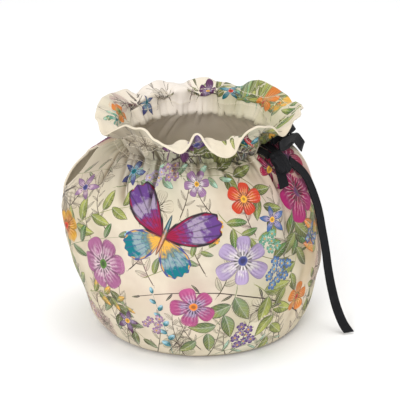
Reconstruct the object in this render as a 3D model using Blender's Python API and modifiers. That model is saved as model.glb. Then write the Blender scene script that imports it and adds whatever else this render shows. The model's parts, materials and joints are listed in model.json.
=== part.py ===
"""A drawstring tea cosy: a fitted cloth cover for a round teapot, standing on its own hem.

Two cloth panels, front and back, are sewn together at the spout side (-X) and at the handle side
(+X). Each runs from a hem turned under at the foot, over the belly and the shoulder, through a
neck gathered by a drawstring, and out into a frill. The seams are left open where the spout and
the handle pass. The ends of the drawstring ribbon come out of the neck on the handle side, and
are tied there in a bow with one long and one short tail.

Lengths are in metres and angles in degrees, with +Z up and the front facing -Y.
"""

import bpy
import numpy as np
from mathutils import Matrix

MM = 0.001

# Driving dimensions
CLOTH_THICKNESS = 2.0 * MM
SEAM_GAP = 0.7 * MM
RIBBON_WIDTH = 8.0 * MM
RIBBON_THICKNESS = 1.0 * MM
FRILL_LENGTH = 41.0 * MM
AXIS_X = 6.4 * MM  # the spout side swells, so the pot's axis lies off the middle of the length
SPOUT_AZIMUTH = 180.0
HANDLE_AZIMUTH = 0.0
FULL_TURN = 360.0

# Steps of the cloth's grid
COLUMNS = 52
BODY_ROWS = 24
FRILL_ROWS = 6
FRILL_MEASURE_STEPS = 16
HANDLE_ROUNDS = 20

# Solidify's offsets
INWARDS = -1.0
BOTH_WAYS = 0.0

# The cloth's outer face, around the pot's axis, from the hem's turned-in edge up to the neck
SECTIONS_MM = (  # height, radius, swell at the spout, swell at the handle
    (0.0, 66.0, 0.0, 0.0),
    (0.0, 75.0, 0.0, 0.0),
    (2.4, 80.6, 0.6, 0.0),
    (9.0, 85.2, 1.6, 0.0),
    (20.0, 89.3, 2.4, 0.0),
    (40.0, 94.5, 3.6, 0.0),
    (60.0, 97.0, 7.0, 0.6),
    (80.0, 96.6, 12.4, 0.0),
    (100.0, 93.3, 17.0, 0.0),
    (118.0, 88.0, 19.5, 1.5),
    (132.0, 81.0, 16.6, 3.0),
    (143.0, 73.5, 12.5, 3.0),
    (150.0, 67.0, 7.0, 1.5),
    (154.0, 61.0, 2.0, 0.0),
    (156.0, 55.0, 0.0, 0.0),
    (155.5, 50.0, 0.0, 0.0),
)
SPOUT_SPREAD = 30.0  # the angle over which a swell dies away to each side
HANDLE_SPREAD = 24.0

# Where a seam is left open: its lowest and highest point, half width, and how blunt its ends are
SPOUT_HOLE = {"low": 112.0 * MM, "high": 147.0 * MM, "half_width": 15.0 * MM, "bluntness": 0.6}
HANDLE_SLOT = {"low": 38.0 * MM, "high": 146.0 * MM, "half_width": 8.5 * MM, "bluntness": 0.5}

# The gathers drawn in at the neck
PLEATS = (  # azimuth, half width, depth in mm, reach down the cloth in mm
    (-167.0, 7.0, 1.8, 16.0),
    (-153.0, 7.5, 2.8, 26.0),
    (-135.0, 6.0, 2.4, 18.0),
    (-119.5, 4.5, 3.0, 30.0),
    (-105.0, 6.0, 1.8, 14.0),
    (-92.0, 5.0, 1.6, 11.0),
    (-79.0, 6.5, 1.8, 14.0),
    (-65.0, 6.0, 1.8, 12.0),
    (-52.0, 5.5, 1.6, 12.0),
    (-37.0, 5.0, 3.6, 44.0),
    (-17.0, 6.5, 1.8, 20.0),
    (16.0, 7.0, 2.0, 18.0),
    (36.0, 6.0, 2.8, 30.0),
    (55.0, 6.5, 2.0, 14.0),
    (72.0, 5.5, 2.4, 20.0),
    (90.0, 6.0, 1.8, 12.0),
    (107.0, 5.5, 2.6, 24.0),
    (125.0, 6.5, 2.0, 16.0),
    (143.0, 6.0, 2.6, 22.0),
    (163.0, 6.5, 1.8, 14.0),
)

# The frill's folds, around the rim: a high fold stands up, and a low one flops outwards.
# The slope is the direction of the cloth as it ends at the rim, up from level.
FRILL_FOLDS = (  # azimuth, rim radius in mm, rim height in mm, slope
    (-179.0, 81.0, 178.0, 25.0),
    (-165.0, 83.0, 178.0, 20.0),
    (-152.0, 84.0, 171.0, 0.0),
    (-143.0, 80.0, 178.0, 30.0),
    (-134.0, 78.0, 183.5, 45.0),
    (-122.0, 78.0, 182.0, 42.0),
    (-110.0, 78.0, 174.0, 0.0),
    (-101.0, 76.5, 168.0, -28.0),
    (-92.0, 73.0, 183.0, 48.0),
    (-83.5, 74.5, 169.0, -22.0),
    (-71.0, 76.5, 167.0, -30.0),
    (-60.0, 74.0, 182.0, 42.0),
    (-50.0, 75.0, 184.0, 48.0),
    (-40.0, 76.0, 176.5, 15.0),
    (-33.0, 77.0, 171.0, -15.0),
    (-26.0, 79.0, 177.0, 10.0),
    (-18.0, 80.0, 181.0, 30.0),
    (-2.0, 79.5, 180.0, 30.0),
    (12.0, 79.0, 176.5, 15.0),
    (23.0, 79.0, 173.5, -10.0),
    (36.0, 76.5, 179.5, 35.0),
    (54.0, 76.0, 180.5, 45.0),
    (67.5, 77.0, 171.5, -10.0),
    (79.0, 75.5, 176.0, 20.0),
    (92.0, 75.0, 178.0, 35.0),
    (105.0, 77.0, 172.0, -10.0),
    (115.0, 75.5, 178.5, 40.0),
    (125.0, 76.0, 175.5, 15.0),
    (134.5, 77.0, 170.5, -15.0),
    (143.0, 76.5, 177.0, 30.0),
    (157.0, 80.0, 178.5, 25.0),
)
# The cloth leaves the neck leaning out from upright, and the more so where it will stand up
FRILL_LEAN = 24.0
FRILL_LEAN_PER_SLOPE = 0.35

# The ribbon, as routes of its middle line, and the way its width points at each place
RIBBON_ROUTES = {  # x, y and z in mm, azimuth and tilt of the width
    "tail_long": (
        (75.4, -32.4, 147.2, 79.0, 33.0),
        (77.6, -31.1, 145.0, 77.0, 33.0),
        (80.3, -29.5, 142.2, 74.0, 32.0),
        (86.0, -26.5, 136.0, 68.0, 30.0),
        (90.9, -24.5, 128.0, 60.0, 25.0),
        (94.6, -24.0, 119.0, 54.0, 19.0),
        (99.9, -23.8, 102.0, 48.0, 12.0),
        (103.2, -23.2, 84.6, 43.0, 8.0),
        (106.3, -23.2, 67.4, 40.0, 6.0),
        (108.8, -24.0, 50.4, 37.0, 7.0),
        (112.3, -26.2, 33.0, 34.0, 9.0),
        (117.0, -30.2, 17.0, 32.0, 13.0),
        (121.8, -34.0, 6.8, 32.0, 17.0),
        (125.8, -37.0, 1.6, 32.0, 17.0),
    ),
    "tail_short": (
        (68.9, -45.7, 141.0, 25.0, 1.0),
        (70.4, -48.7, 135.6, 25.0, 3.0),
        (71.4, -50.9, 131.9, 25.0, 4.0),
    ),
    "loop_side": (
        (67.4, -35.2, 159.4, 60.0, 80.0),
        (69.7, -30.9, 160.4, 60.0, 78.0),
        (73.0, -26.2, 160.8, 45.0, 70.0),
        (76.0, -21.3, 160.8, 36.0, 60.0),
        (79.0, -15.4, 159.8, 32.0, 55.0),
        (81.5, -9.0, 157.6, 32.0, 55.0),
        (84.5, -3.0, 152.0, 32.0, 58.0),
        (87.0, 1.1, 147.2, 36.0, 60.0),
        (87.8, 5.4, 144.6, 60.0, 66.0),
        (86.6, 7.9, 146.0, 110.0, 66.0),
        (83.4, 5.1, 150.2, 140.0, 66.0),
        (80.0, -1.3, 154.4, 145.0, 66.0),
        (77.3, -8.7, 154.8, 145.0, 68.0),
        (74.1, -16.9, 155.0, 145.0, 74.0),
        (71.1, -23.5, 155.8, 140.0, 78.0),
        (68.2, -28.8, 157.4, 140.0, 80.0),
    ),
    "loop_upper": (
        (62.5, -29.2, 162.2, 150.0, 82.0),
        (65.9, -24.0, 163.2, 150.0, 80.0),
        (70.6, -17.8, 164.4, 154.0, 72.0),
        (75.8, -9.3, 164.8, 156.0, 62.0),
        (79.0, -0.8, 164.0, 156.0, 55.0),
        (79.6, 6.0, 162.8, 156.0, 55.0),
        (78.2, 10.2, 161.0, 156.0, 55.0),
        (75.2, 9.4, 159.9, 156.0, 58.0),
        (72.0, 2.1, 159.8, 156.0, 64.0),
        (69.3, -7.7, 160.0, 156.0, 70.0),
        (66.3, -16.0, 160.6, 154.0, 76.0),
        (63.3, -21.8, 161.4, 150.0, 80.0),
        (61.3, -25.6, 161.8, 150.0, 82.0),
    ),
    "drawstring_end_front": (
        (48.5, -32.9, 158.0, 52.0, 0.0),
        (51.3, -35.1, 157.4, 52.0, 0.0),
        (54.8, -37.1, 156.0, 52.0, 0.0),
        (58.7, -38.7, 153.8, 53.0, 0.0),
        (60.5, -39.6, 152.4, 54.0, 0.0),
    ),
    "drawstring_end_side": (
        (54.4, -23.4, 158.0, 64.0, 0.0),
        (57.6, -25.0, 157.4, 64.0, 0.0),
        (61.0, -27.2, 156.0, 63.0, 0.0),
        (64.1, -30.0, 153.8, 62.0, 0.0),
        (66.0, -32.2, 151.9, 61.0, 0.0),
    ),
}
RIBBON_STEP = 3.0 * MM

# The knot: a rounded lump of ribbon, flat against the shoulder
KNOT_CENTRE_MM = (68.3, -42.2, 149.5)
KNOT_SIZE_MM = (18.6, 9.6, 15.2)
KNOT_TURN = -122.3
KNOT_TILT = 43.0
KNOT_LEVELS = 3
CAGE_PER_SIZE = 1.28  # Subdivision Surface draws a cube's cage in by this much

COLOURS = {
    "cream_print_cotton": (0.80, 0.72, 0.58, 1.0),
    "black_ribbon": (0.012, 0.012, 0.013, 1.0),
}
ROUGHNESS = {"cream_print_cotton": 0.85, "black_ribbon": 0.65}


def smooth_through(knots, values, at):
    """The values at these places on a smooth curve through every knot: a cubic between each two,
    whose slope at a knot is taken from its neighbours."""
    slopes = np.gradient(values, knots, axis=0)
    low = np.clip(np.searchsorted(knots, at, side="right") - 1, 0, len(knots) - 2)
    span = (knots[low + 1] - knots[low])[:, None]
    t = (at - knots[low])[:, None] / span
    start = (1 + 2 * t) * (1 - t) ** 2 * values[low] + t * (1 - t) ** 2 * span * slopes[low]
    end = t**2 * (3 - 2 * t) * values[low + 1] - t**2 * (1 - t) * span * slopes[low + 1]
    return start + end


def turn_between(a, b):
    """The turn in degrees from azimuth b to azimuth a, the short way round."""
    return (a - b + FULL_TURN / 2) % FULL_TURN - FULL_TURN / 2


def polar(radius, azimuth, height):
    """Points around the pot's axis, as an array whose last axis is x, y, z."""
    turn = np.radians(azimuth)
    x = AXIS_X + radius * np.cos(turn)
    y = radius * np.sin(turn)
    return np.stack(np.broadcast_arrays(x, y, height), axis=-1)


def section_rows():
    """Height, radius and the two swells at each row of the body, from the hem's edge to the neck."""
    table = np.array(SECTIONS_MM) * MM
    steps = np.hypot(np.diff(table[:, 0]), np.diff(table[:, 1]))
    along = np.concatenate([[0.0], np.cumsum(steps)])
    places = np.concatenate([[0.0], np.linspace(along[1], along[-1], BODY_ROWS)])
    return smooth_through(along, table, places)


def pleat_depth(azimuth, below_neck):
    """How far the gathers draw the cloth in, at an azimuth and a distance below the neck."""
    depth = np.zeros(np.broadcast(azimuth, below_neck).shape)
    for centre, half_width, deepest, reach in PLEATS:
        across = np.exp(-((turn_between(azimuth, centre) / half_width) ** 2))
        down = np.exp(-((below_neck / (reach * MM)) ** 2))
        depth += deepest * MM * across * down
    return depth


def body_points(azimuth, rows):
    """The body's outer face, for a grid of azimuths with one row for each of the section's."""
    height, radius, spout_swell, handle_swell = (rows[:, k, None] for k in range(4))
    from_spout = turn_between(azimuth, SPOUT_AZIMUTH) / SPOUT_SPREAD
    from_handle = turn_between(azimuth, HANDLE_AZIMUTH) / HANDLE_SPREAD
    radius = radius + spout_swell * np.exp(-(from_spout**2))
    radius = radius + handle_swell * np.exp(-(from_handle**2))
    radius = radius - pleat_depth(azimuth, rows[-1, 0] - height)
    return polar(radius, azimuth, height)


def bezier(ends, handles, t):
    """Points of a cubic from ends[0] to ends[1], with its inner controls at handles."""
    t = t[:, None, None]
    start = (1 - t) ** 3 * ends[0] + 3 * t * (1 - t) ** 2 * handles[0]
    return start + 3 * t**2 * (1 - t) * handles[1] + t**3 * ends[1]


def frill_points(azimuth, neck_radius, neck_height):
    """The frill above the neck, a row for each step up: each column is a cubic from the neck to
    the rim, and its handles are as long as the frill's cut length needs."""
    table = np.array(FRILL_FOLDS)
    table = np.concatenate([table[-2:], table, table[:2]])
    table[:2, 0] -= FULL_TURN
    table[-2:, 0] += FULL_TURN
    rim_radius, rim_height, slope = smooth_through(table[:, 0], table[:, 1:], azimuth).T
    lean = np.radians(FRILL_LEAN + FRILL_LEAN_PER_SLOPE * slope)
    slope = np.radians(slope)
    ends = np.stack(
        [
            np.stack([neck_radius, np.full(len(azimuth), neck_height)], axis=-1),
            np.stack([rim_radius, rim_height], axis=-1) * MM,
        ]
    )
    up = np.stack([np.sin(lean), np.cos(lean)], axis=-1)
    out = np.stack([np.cos(slope), np.sin(slope)], axis=-1)

    def section(handle, t):
        handle = handle[:, None]
        return bezier(ends, [ends[0] + handle * up, ends[1] - handle * out], t)

    fine = np.linspace(0.0, 1.0, FRILL_MEASURE_STEPS + 1)
    short = np.zeros(len(azimuth))
    long = np.full(len(azimuth), FRILL_LENGTH)
    for _ in range(HANDLE_ROUNDS):
        handle = (short + long) / 2
        length = np.linalg.norm(np.diff(section(handle, fine), axis=0), axis=-1).sum(axis=0)
        short = np.where(length < FRILL_LENGTH, handle, short)
        long = np.where(length < FRILL_LENGTH, long, handle)
    rows = section(short, np.linspace(0.0, 1.0, FRILL_ROWS + 1)[1:])
    return polar(rows[..., 0], azimuth, rows[..., 1])


def seam_opening(opening, height):
    """Half the gap between the two panels at a seam: the hole's outline, or just the sewn seam."""
    share = np.clip((height - opening["low"]) / (opening["high"] - opening["low"]), 0.0, 1.0)
    return SEAM_GAP / 2 + opening["half_width"] * np.sin(np.pi * share) ** opening["bluntness"]


def panel_points(seams):
    """One panel's outer face, as a grid of points whose columns run between its two seams."""
    rows = section_rows()
    height, radius = rows[:, 0], rows[:, 1]
    edges = []
    for seam_azimuth, opening, way_in in seams:
        edges.append(seam_azimuth + way_in * np.degrees(seam_opening(opening, height) / radius))
    share = np.linspace(0.0, 1.0, COLUMNS + 1)
    azimuth = edges[0][:, None] * (1 - share) + edges[1][:, None] * share
    body = body_points(azimuth, rows)
    neck_radius = np.hypot(body[-1, :, 0] - AXIS_X, body[-1, :, 1])
    return np.concatenate([body, frill_points(azimuth[-1], neck_radius, rows[-1, 0])])


def material(name):
    made = bpy.data.materials.new(name)
    made.use_nodes = True
    shader = made.node_tree.nodes["Principled BSDF"]
    shader.inputs["Base Color"].default_value = COLOURS[name]
    shader.inputs["Roughness"].default_value = ROUGHNESS[name]
    shader.inputs["Metallic"].default_value = 0.0
    made.diffuse_color = COLOURS[name]
    return made


def sheet(name, points, thickness, side, collection, finish):
    """A sheet whose face is this grid of points, thickened with Solidify towards one side."""
    high, wide = points.shape[:2]
    index = np.arange(high * wide).reshape(high, wide)
    corners = [index[:-1, :-1], index[:-1, 1:], index[1:, 1:], index[1:, :-1]]
    quads = np.stack([corner.ravel() for corner in corners], axis=-1)
    mesh = bpy.data.meshes.new(name)
    mesh.from_pydata(points.reshape(-1, 3).tolist(), [], quads.tolist())
    mesh.shade_smooth()
    mesh.materials.append(finish)
    made = bpy.data.objects.new(name, mesh)
    collection.objects.link(made)
    solid = made.modifiers.new("thickness", "SOLIDIFY")
    solid.thickness = thickness
    solid.offset = side
    return made


def along_route(points):
    """The distance along a route at each of its points."""
    steps = np.linalg.norm(np.diff(points, axis=0), axis=1)
    return np.concatenate([[0.0], np.cumsum(steps)])


def unit(vectors):
    return vectors / np.linalg.norm(vectors, axis=-1, keepdims=True)


def ribbon_points(route):
    """A ribbon's middle face, as a grid of three points across for each step along its route."""
    table = np.array(route)
    points = table[:, :3] * MM
    turn, tilt = np.radians(table[:, 3]), np.radians(table[:, 4])
    level = np.cos(tilt)
    wide = np.stack([level * np.cos(turn), level * np.sin(turn), np.sin(tilt)], axis=-1)
    along = along_route(points)
    at = np.linspace(0.0, along[-1], 1 + round(along[-1] / RIBBON_STEP))
    middle = smooth_through(along, points, at)
    wide = smooth_through(along, wide, at)
    forward = unit(np.gradient(middle, at, axis=0))
    wide = unit(wide - forward * (wide * forward).sum(axis=1, keepdims=True))
    across = np.array([-0.5, 0.0, 0.5])[:, None] * RIBBON_WIDTH
    return middle[:, None] + wide[:, None] * across


def knot(collection, finish):
    """A cube's cage, rounded by Subdivision Surface, and turned so that its Y faces outwards."""
    bpy.ops.mesh.primitive_cube_add(size=1.0, location=np.array(KNOT_CENTRE_MM) * MM)
    made = bpy.context.object
    made.name = "knot"
    made.data.transform(Matrix.Diagonal([*(np.array(KNOT_SIZE_MM) * MM * CAGE_PER_SIZE), 1.0]))
    made.rotation_euler = np.radians([KNOT_TILT, 0.0, KNOT_TURN])
    for old in made.users_collection:
        old.objects.unlink(made)
    collection.objects.link(made)
    rounding = made.modifiers.new("rounding", "SUBSURF")
    rounding.levels = KNOT_LEVELS
    rounding.render_levels = KNOT_LEVELS
    made.data.shade_smooth()
    made.data.materials.append(finish)


def main():
    for old in list(bpy.data.objects):
        bpy.data.objects.remove(old, do_unlink=True)
    cosy = bpy.data.collections.new("tea_cosy")
    bpy.context.scene.collection.children.link(cosy)
    cotton = material("cream_print_cotton")
    panels = {  # each seam as its azimuth, its opening, and the way round into the panel
        "front_panel": (
            (SPOUT_AZIMUTH - FULL_TURN, SPOUT_HOLE, 1.0),
            (HANDLE_AZIMUTH, HANDLE_SLOT, -1.0),
        ),
        "back_panel": (
            (HANDLE_AZIMUTH, HANDLE_SLOT, 1.0),
            (SPOUT_AZIMUTH, SPOUT_HOLE, -1.0),
        ),
    }
    for name, seams in panels.items():
        sheet(name, panel_points(seams), CLOTH_THICKNESS, INWARDS, cosy, cotton)
    ribbon = material("black_ribbon")
    for name, route in RIBBON_ROUTES.items():
        sheet(name, ribbon_points(route), RIBBON_THICKNESS, BOTH_WAYS, cosy, ribbon)
    knot(cosy, ribbon)


main()
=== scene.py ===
"""A drawstring tea cosy in printed cotton: two cloth panels gathered into a frill above the neck,
and a black ribbon tied in a bow beside the handle.

The cloth is worked out around the pot's axis, by azimuth in degrees and by distance up the cloth
from the hem's inner edge in millimetres. Its print is a set of generic flowers, leaves and a
butterfly: each is placed by those two numbers, and drawn in its own small coordinates, which every
face corner under it carries to the material.
"""

import json

import bpy
import numpy as np
from mathutils import Vector
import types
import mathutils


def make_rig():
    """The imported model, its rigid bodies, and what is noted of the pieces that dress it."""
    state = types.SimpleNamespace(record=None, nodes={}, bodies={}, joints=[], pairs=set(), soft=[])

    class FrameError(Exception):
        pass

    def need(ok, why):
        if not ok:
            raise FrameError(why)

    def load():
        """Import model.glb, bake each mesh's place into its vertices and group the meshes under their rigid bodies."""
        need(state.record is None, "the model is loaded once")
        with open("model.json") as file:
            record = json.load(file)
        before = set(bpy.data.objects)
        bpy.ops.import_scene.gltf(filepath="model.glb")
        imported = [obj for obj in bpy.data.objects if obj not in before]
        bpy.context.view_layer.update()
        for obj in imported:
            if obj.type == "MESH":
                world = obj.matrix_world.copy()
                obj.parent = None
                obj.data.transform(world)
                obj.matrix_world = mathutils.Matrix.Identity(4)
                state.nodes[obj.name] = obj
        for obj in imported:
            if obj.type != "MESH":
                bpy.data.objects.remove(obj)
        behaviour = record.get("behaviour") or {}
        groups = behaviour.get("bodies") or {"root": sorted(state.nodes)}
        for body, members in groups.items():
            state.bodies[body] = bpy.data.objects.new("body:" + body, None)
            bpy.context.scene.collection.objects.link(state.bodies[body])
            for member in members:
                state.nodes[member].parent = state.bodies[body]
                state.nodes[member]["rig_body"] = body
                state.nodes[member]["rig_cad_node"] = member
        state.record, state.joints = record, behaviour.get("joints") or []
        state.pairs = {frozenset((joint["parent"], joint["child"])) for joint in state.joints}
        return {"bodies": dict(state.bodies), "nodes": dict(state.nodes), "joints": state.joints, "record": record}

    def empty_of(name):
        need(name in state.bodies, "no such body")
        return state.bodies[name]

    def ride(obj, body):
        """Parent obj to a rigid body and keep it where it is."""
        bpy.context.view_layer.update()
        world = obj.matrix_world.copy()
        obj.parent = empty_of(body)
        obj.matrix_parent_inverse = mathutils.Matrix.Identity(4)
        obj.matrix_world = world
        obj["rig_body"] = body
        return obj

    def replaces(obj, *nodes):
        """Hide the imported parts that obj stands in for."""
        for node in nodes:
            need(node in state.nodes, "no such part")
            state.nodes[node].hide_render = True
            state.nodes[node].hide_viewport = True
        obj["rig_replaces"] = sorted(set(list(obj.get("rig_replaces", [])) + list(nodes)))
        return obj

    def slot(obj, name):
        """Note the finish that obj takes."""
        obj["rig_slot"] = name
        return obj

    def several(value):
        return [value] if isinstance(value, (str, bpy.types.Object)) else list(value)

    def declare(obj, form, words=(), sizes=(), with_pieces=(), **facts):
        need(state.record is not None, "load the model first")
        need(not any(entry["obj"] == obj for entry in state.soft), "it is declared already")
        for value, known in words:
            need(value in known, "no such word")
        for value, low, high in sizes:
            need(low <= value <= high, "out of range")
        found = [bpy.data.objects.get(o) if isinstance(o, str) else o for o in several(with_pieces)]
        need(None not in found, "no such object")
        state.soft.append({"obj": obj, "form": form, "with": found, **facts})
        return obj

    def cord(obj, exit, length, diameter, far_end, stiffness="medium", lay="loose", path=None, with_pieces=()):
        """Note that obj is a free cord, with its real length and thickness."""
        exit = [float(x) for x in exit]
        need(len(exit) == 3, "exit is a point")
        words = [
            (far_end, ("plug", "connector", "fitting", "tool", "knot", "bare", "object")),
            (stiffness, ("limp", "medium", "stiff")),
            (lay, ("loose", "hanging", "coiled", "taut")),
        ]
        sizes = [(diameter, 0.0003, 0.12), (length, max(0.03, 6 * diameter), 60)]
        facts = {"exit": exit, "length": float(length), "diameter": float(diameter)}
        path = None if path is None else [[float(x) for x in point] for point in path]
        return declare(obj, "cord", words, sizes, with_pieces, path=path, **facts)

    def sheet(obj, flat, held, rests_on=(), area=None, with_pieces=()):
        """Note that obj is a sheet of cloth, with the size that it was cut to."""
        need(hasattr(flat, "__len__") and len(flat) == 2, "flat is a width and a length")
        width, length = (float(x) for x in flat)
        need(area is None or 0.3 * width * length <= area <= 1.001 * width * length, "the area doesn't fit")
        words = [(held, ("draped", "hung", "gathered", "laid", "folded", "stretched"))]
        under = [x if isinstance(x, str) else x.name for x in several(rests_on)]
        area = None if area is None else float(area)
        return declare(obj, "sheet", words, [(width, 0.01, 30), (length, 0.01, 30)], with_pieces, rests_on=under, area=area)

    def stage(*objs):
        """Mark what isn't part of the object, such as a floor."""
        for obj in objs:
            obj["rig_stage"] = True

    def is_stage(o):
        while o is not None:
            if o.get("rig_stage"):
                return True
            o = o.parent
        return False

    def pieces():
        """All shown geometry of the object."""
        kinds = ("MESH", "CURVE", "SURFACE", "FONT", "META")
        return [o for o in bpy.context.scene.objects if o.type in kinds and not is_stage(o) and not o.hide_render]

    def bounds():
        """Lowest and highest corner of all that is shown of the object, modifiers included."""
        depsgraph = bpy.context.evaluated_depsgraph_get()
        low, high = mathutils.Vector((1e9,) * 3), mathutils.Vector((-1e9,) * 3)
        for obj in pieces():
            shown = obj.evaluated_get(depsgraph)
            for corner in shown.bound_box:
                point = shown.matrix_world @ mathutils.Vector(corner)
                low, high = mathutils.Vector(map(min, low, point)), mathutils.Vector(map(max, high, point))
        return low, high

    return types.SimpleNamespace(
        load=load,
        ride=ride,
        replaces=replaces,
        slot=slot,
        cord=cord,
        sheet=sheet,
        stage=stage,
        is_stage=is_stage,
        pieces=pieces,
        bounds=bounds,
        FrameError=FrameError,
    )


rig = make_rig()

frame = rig.load()
cad_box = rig.bounds()

MM = 0.001
FULL_TURN = 360.0
PURE_WHITE = (1.0, 1.0, 1.0, 1.0)
AXIS_X = 6.4 * MM


def rows_of(text):
    """A table written as text, as one tuple for each line: its numbers and its words."""

    def entry(word):
        if not word.strip("-.0123456789"):
            return float(word) if "." in word else int(word)
        return word

    return [tuple(map(entry, line.split())) for line in text.strip().splitlines()]


# ---- Camera, floor and lights

LOOK_AT = Vector((AXIS_X, 0.0, 101.0 * MM))
CAMERA_DISTANCE = 1.5
CAMERA_RISE = 22.0
LENS_MM = 168.75
SENSOR_MM = 36.0
FLOOR_HALF = 9.0
FLOOR_WHITE = (0.97, 0.97, 0.97, 1.0)
SKY_STRENGTH = 0.78
LIGHTS = {  # place, size and power
    "key": ((-0.5, -1.75, 0.85), 0.7, 17.5),
    "fill": ((1.5, -1.1, 0.8), 1.2, 1.5),
    "top": ((0.1, 0.2, 1.7), 0.9, 8.5),
}

# ---- The cloth's shape: its solids', but for a wider neck and a steeper frill

CLOTH_THICKNESS = 1.4 * MM
SEAM_GAP = 0.16 * MM
FRILL_LENGTH = 34.5 * MM
SPOUT_AZIMUTH = 180.0
HANDLE_AZIMUTH = 0.0
SPOUT_SPREAD = 30.0
HANDLE_SPREAD = 24.0
FRILL_LEAN = 24.0
FRILL_LEAN_PER_SLOPE = 0.35
HANDLE_ROUNDS = 20
FRILL_MEASURE_STEPS = 16
COLUMNS = 236
BODY_ROWS = 104
FRILL_ROWS = 36

# Height, radius, swell at the spout, swell at the handle
SECTIONS_MM = rows_of("""
0 66 0 0
0 75 0 0
2.4 80.6 0.6 0
9 85.2 1.6 0
20 89.3 2.4 0
40 94.5 3.6 0
60 97 7 0.6
80 96.6 12.4 0
100 93.3 17 0
118 88 19.5 1.5
132 81 16.6 3
143 73.5 12.5 3
150 67 7 1.5
153 63 3 0.5
154.5 60.5 1 0
154.5 58.5 0 0
""")
NECK_SPREAD = (  # azimuth, half width, mm more
    (-143.0, 32.0, 5.5),
    (-56.0, 24.0, 3.0),
    (-17.0, 26.0, -8.5),
)
NECK_SPREAD_FROM = 146.0 * MM
SPOUT_HOLE = {"low": 112.0 * MM, "high": 147.0 * MM, "half_width": 15.0 * MM, "bluntness": 0.6}
HANDLE_SLOT = {"low": 38.0 * MM, "high": 146.0 * MM, "half_width": 8.5 * MM, "bluntness": 0.5}
# Azimuth, half width, depth in mm, reach down the cloth in mm
PLEATS = rows_of("""
-167 7 1.8 16
-153 7.5 2.8 26
-135 6 2.4 18
-119.5 4.5 3 30
-105 6 1.8 14
-92 5 1.6 11
-79 6.5 1.8 14
-65 6 1.8 12
-52 5.5 1.6 12
-37 5 3.6 44
-17 6.5 1.8 20
16 7 2 18
36 6 2.8 30
55 6.5 2 14
72 5.5 2.4 20
90 6 1.8 12
107 5.5 2.6 24
125 6.5 2 16
143 6 2.6 22
163 6.5 1.8 14
""")
# Azimuth, rim radius in mm, rim height in mm, slope
FRILL_FOLDS = rows_of("""
-179 81 178 25
-165 83 178 30
-152 84 171 25
-143 80 178 42
-134 78 183.5 50
-122 78 182 48
-110 78 174 25
-101 76.5 168 -10
-92 73 183 48
-83.5 74.5 169 -22
-71 76.5 167 -30
-60 74 182 42
-50 75 184 48
-40 76 176.5 15
-33 77 171 -15
-26 79 177 10
-18 80 181 30
-2 79.5 180 30
12 79 176.5 15
23 79 173.5 -10
36 76.5 179.5 35
54 76 180.5 45
67.5 77 171.5 -10
79 75.5 176 20
92 75 178 35
105 77 172 -10
115 75.5 178.5 40
125 76 175.5 15
134.5 77 170.5 -15
143 76.5 177 30
157 80 178.5 25
""")

# ---- Creases, gathers and hems that only the finished cloth has, in degrees and mm

# From azimuth and up, to azimuth and up, half width, depth, height of the lip beside it
CREASES = rows_of("""
-147 176 -135 146 4.5 1.7 0.9
-132 178 -126 158 3 1.3 0.7
-120.5 182 -118 150 1.7 3 0.8
-141 182 -137 160 1.8 2.2 0.7
-158 178 -154 158 2 1.8 0.6
-126 180 -122.5 170 1.8 0.9 0.4
-109 181 -107 174 1.8 1 0.5
-99 182 -98 178 1.6 0.9 0.4
-91.5 182 -91 172 1.5 1.1 0.5
-85 182 -84.5 179 1.5 0.9 0.4
-76 182 -74 172 1.8 1 0.5
-63 181 -60 172 2 1 0.5
-52 180 -50 168 2 1 0.5
-44 176 -41.5 158 2.8 2.2 1.1
-41.5 158 -43.5 122 3.2 1.5 0.9
-30 174 -25 140 3 1.3 0.7
-33 98 -38 42 5.5 0.8 0.6
-172 122 -156 104 4.5 1.1 0.6
-171 98 -150 88 5 0.8 0.5
-143 64 -120 40 7.5 0.6 0.5
-78 38 -58 60 7.5 0.6 0.5
-14 60 -26 36 5 0.8 0.5
-10 118 -24 104 4.5 0.9 0.5
14 176 20 150 3 1.4 0.7
36 180 39 150 2.4 1.8 0.9
56 180 55 166 2 1 0.5
72 180 70 156 2.2 1.5 0.8
90 181 91 170 1.8 1 0.5
107 180 111 152 2.4 1.7 0.9
126 180 127 168 2 1 0.5
143 179 139 150 2.6 1.6 0.8
164 176 168 156 3 1.2 0.6
12 90 30 78 5 0.9 0.5
60 70 84 44 7.5 0.7 0.5
120 40 146 66 7.5 0.6 0.5
171 104 152 92 5 0.9 0.5
""")
CREASE_FADE = 9.0
PLEAT_BESIDE = 5.0
# Painted shade: how much the pleats darken the cloth, and a band of painted shadow under the frill and one at the
# foot, with their places and half widths in mm.
PLEAT_SHADE = 0.7
NECK_SHADE = 1.1
NECK_SHADE_HALF = 8.0
FOOT_SHADE = 7.0
FOOT_SHADE_UP = 12.0
FOOT_SHADE_HALF = 3.2
GATHERS = (  # waves to a turn, height in mm, phase, unevenness, waves of the unevenness
    (31.0, 0.42, 0.4, 1.9, 5.0),
    (53.0, 0.26, 2.1, 1.7, 7.0),
    (79.0, 0.18, 4.0, 1.3, 11.0),
)
GATHER_REACH_DOWN = 13.0
GATHER_REACH_UP = 17.0
GATHER_AT_RIM = 0.3
RUFFLES = ((19.0, 0.9, 1.0, 0.8, 3.0), (31.0, 0.5, 3.3, 0.7, 5.0))
SLACK = (  # wavelength across, wavelength up, phase, height, all in mm
    (61.0, -83.0, 0.3, 0.42),
    (-43.0, 57.0, 1.9, 0.30),
    (97.0, 41.0, 4.2, 0.38),
    (29.0, 71.0, 2.7, 0.16),
    (-23.0, -37.0, 5.1, 0.12),
)
CASING_HALF = 5.5
CASING_PUFF = 0.7
CASING_ROUND = 0.62
NECK_RAMP = 20.0
SLACK_FROM = 12.0
SLACK_RAMP = 20.0
SHOULDER_DOWN = 60.0
SHOULDER_RAMP = 30.0
HEM_RAMP = 0.8
HEM_WIDTH = 6.0
HEM_THICKER = 0.4
STITCH_SINK = 0.45
STITCH_HALF = 0.7
SEAM_SINK = 1.1
SEAM_SINK_HALF = 1.3
FOOT_STITCH_UP = 24.0
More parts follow.
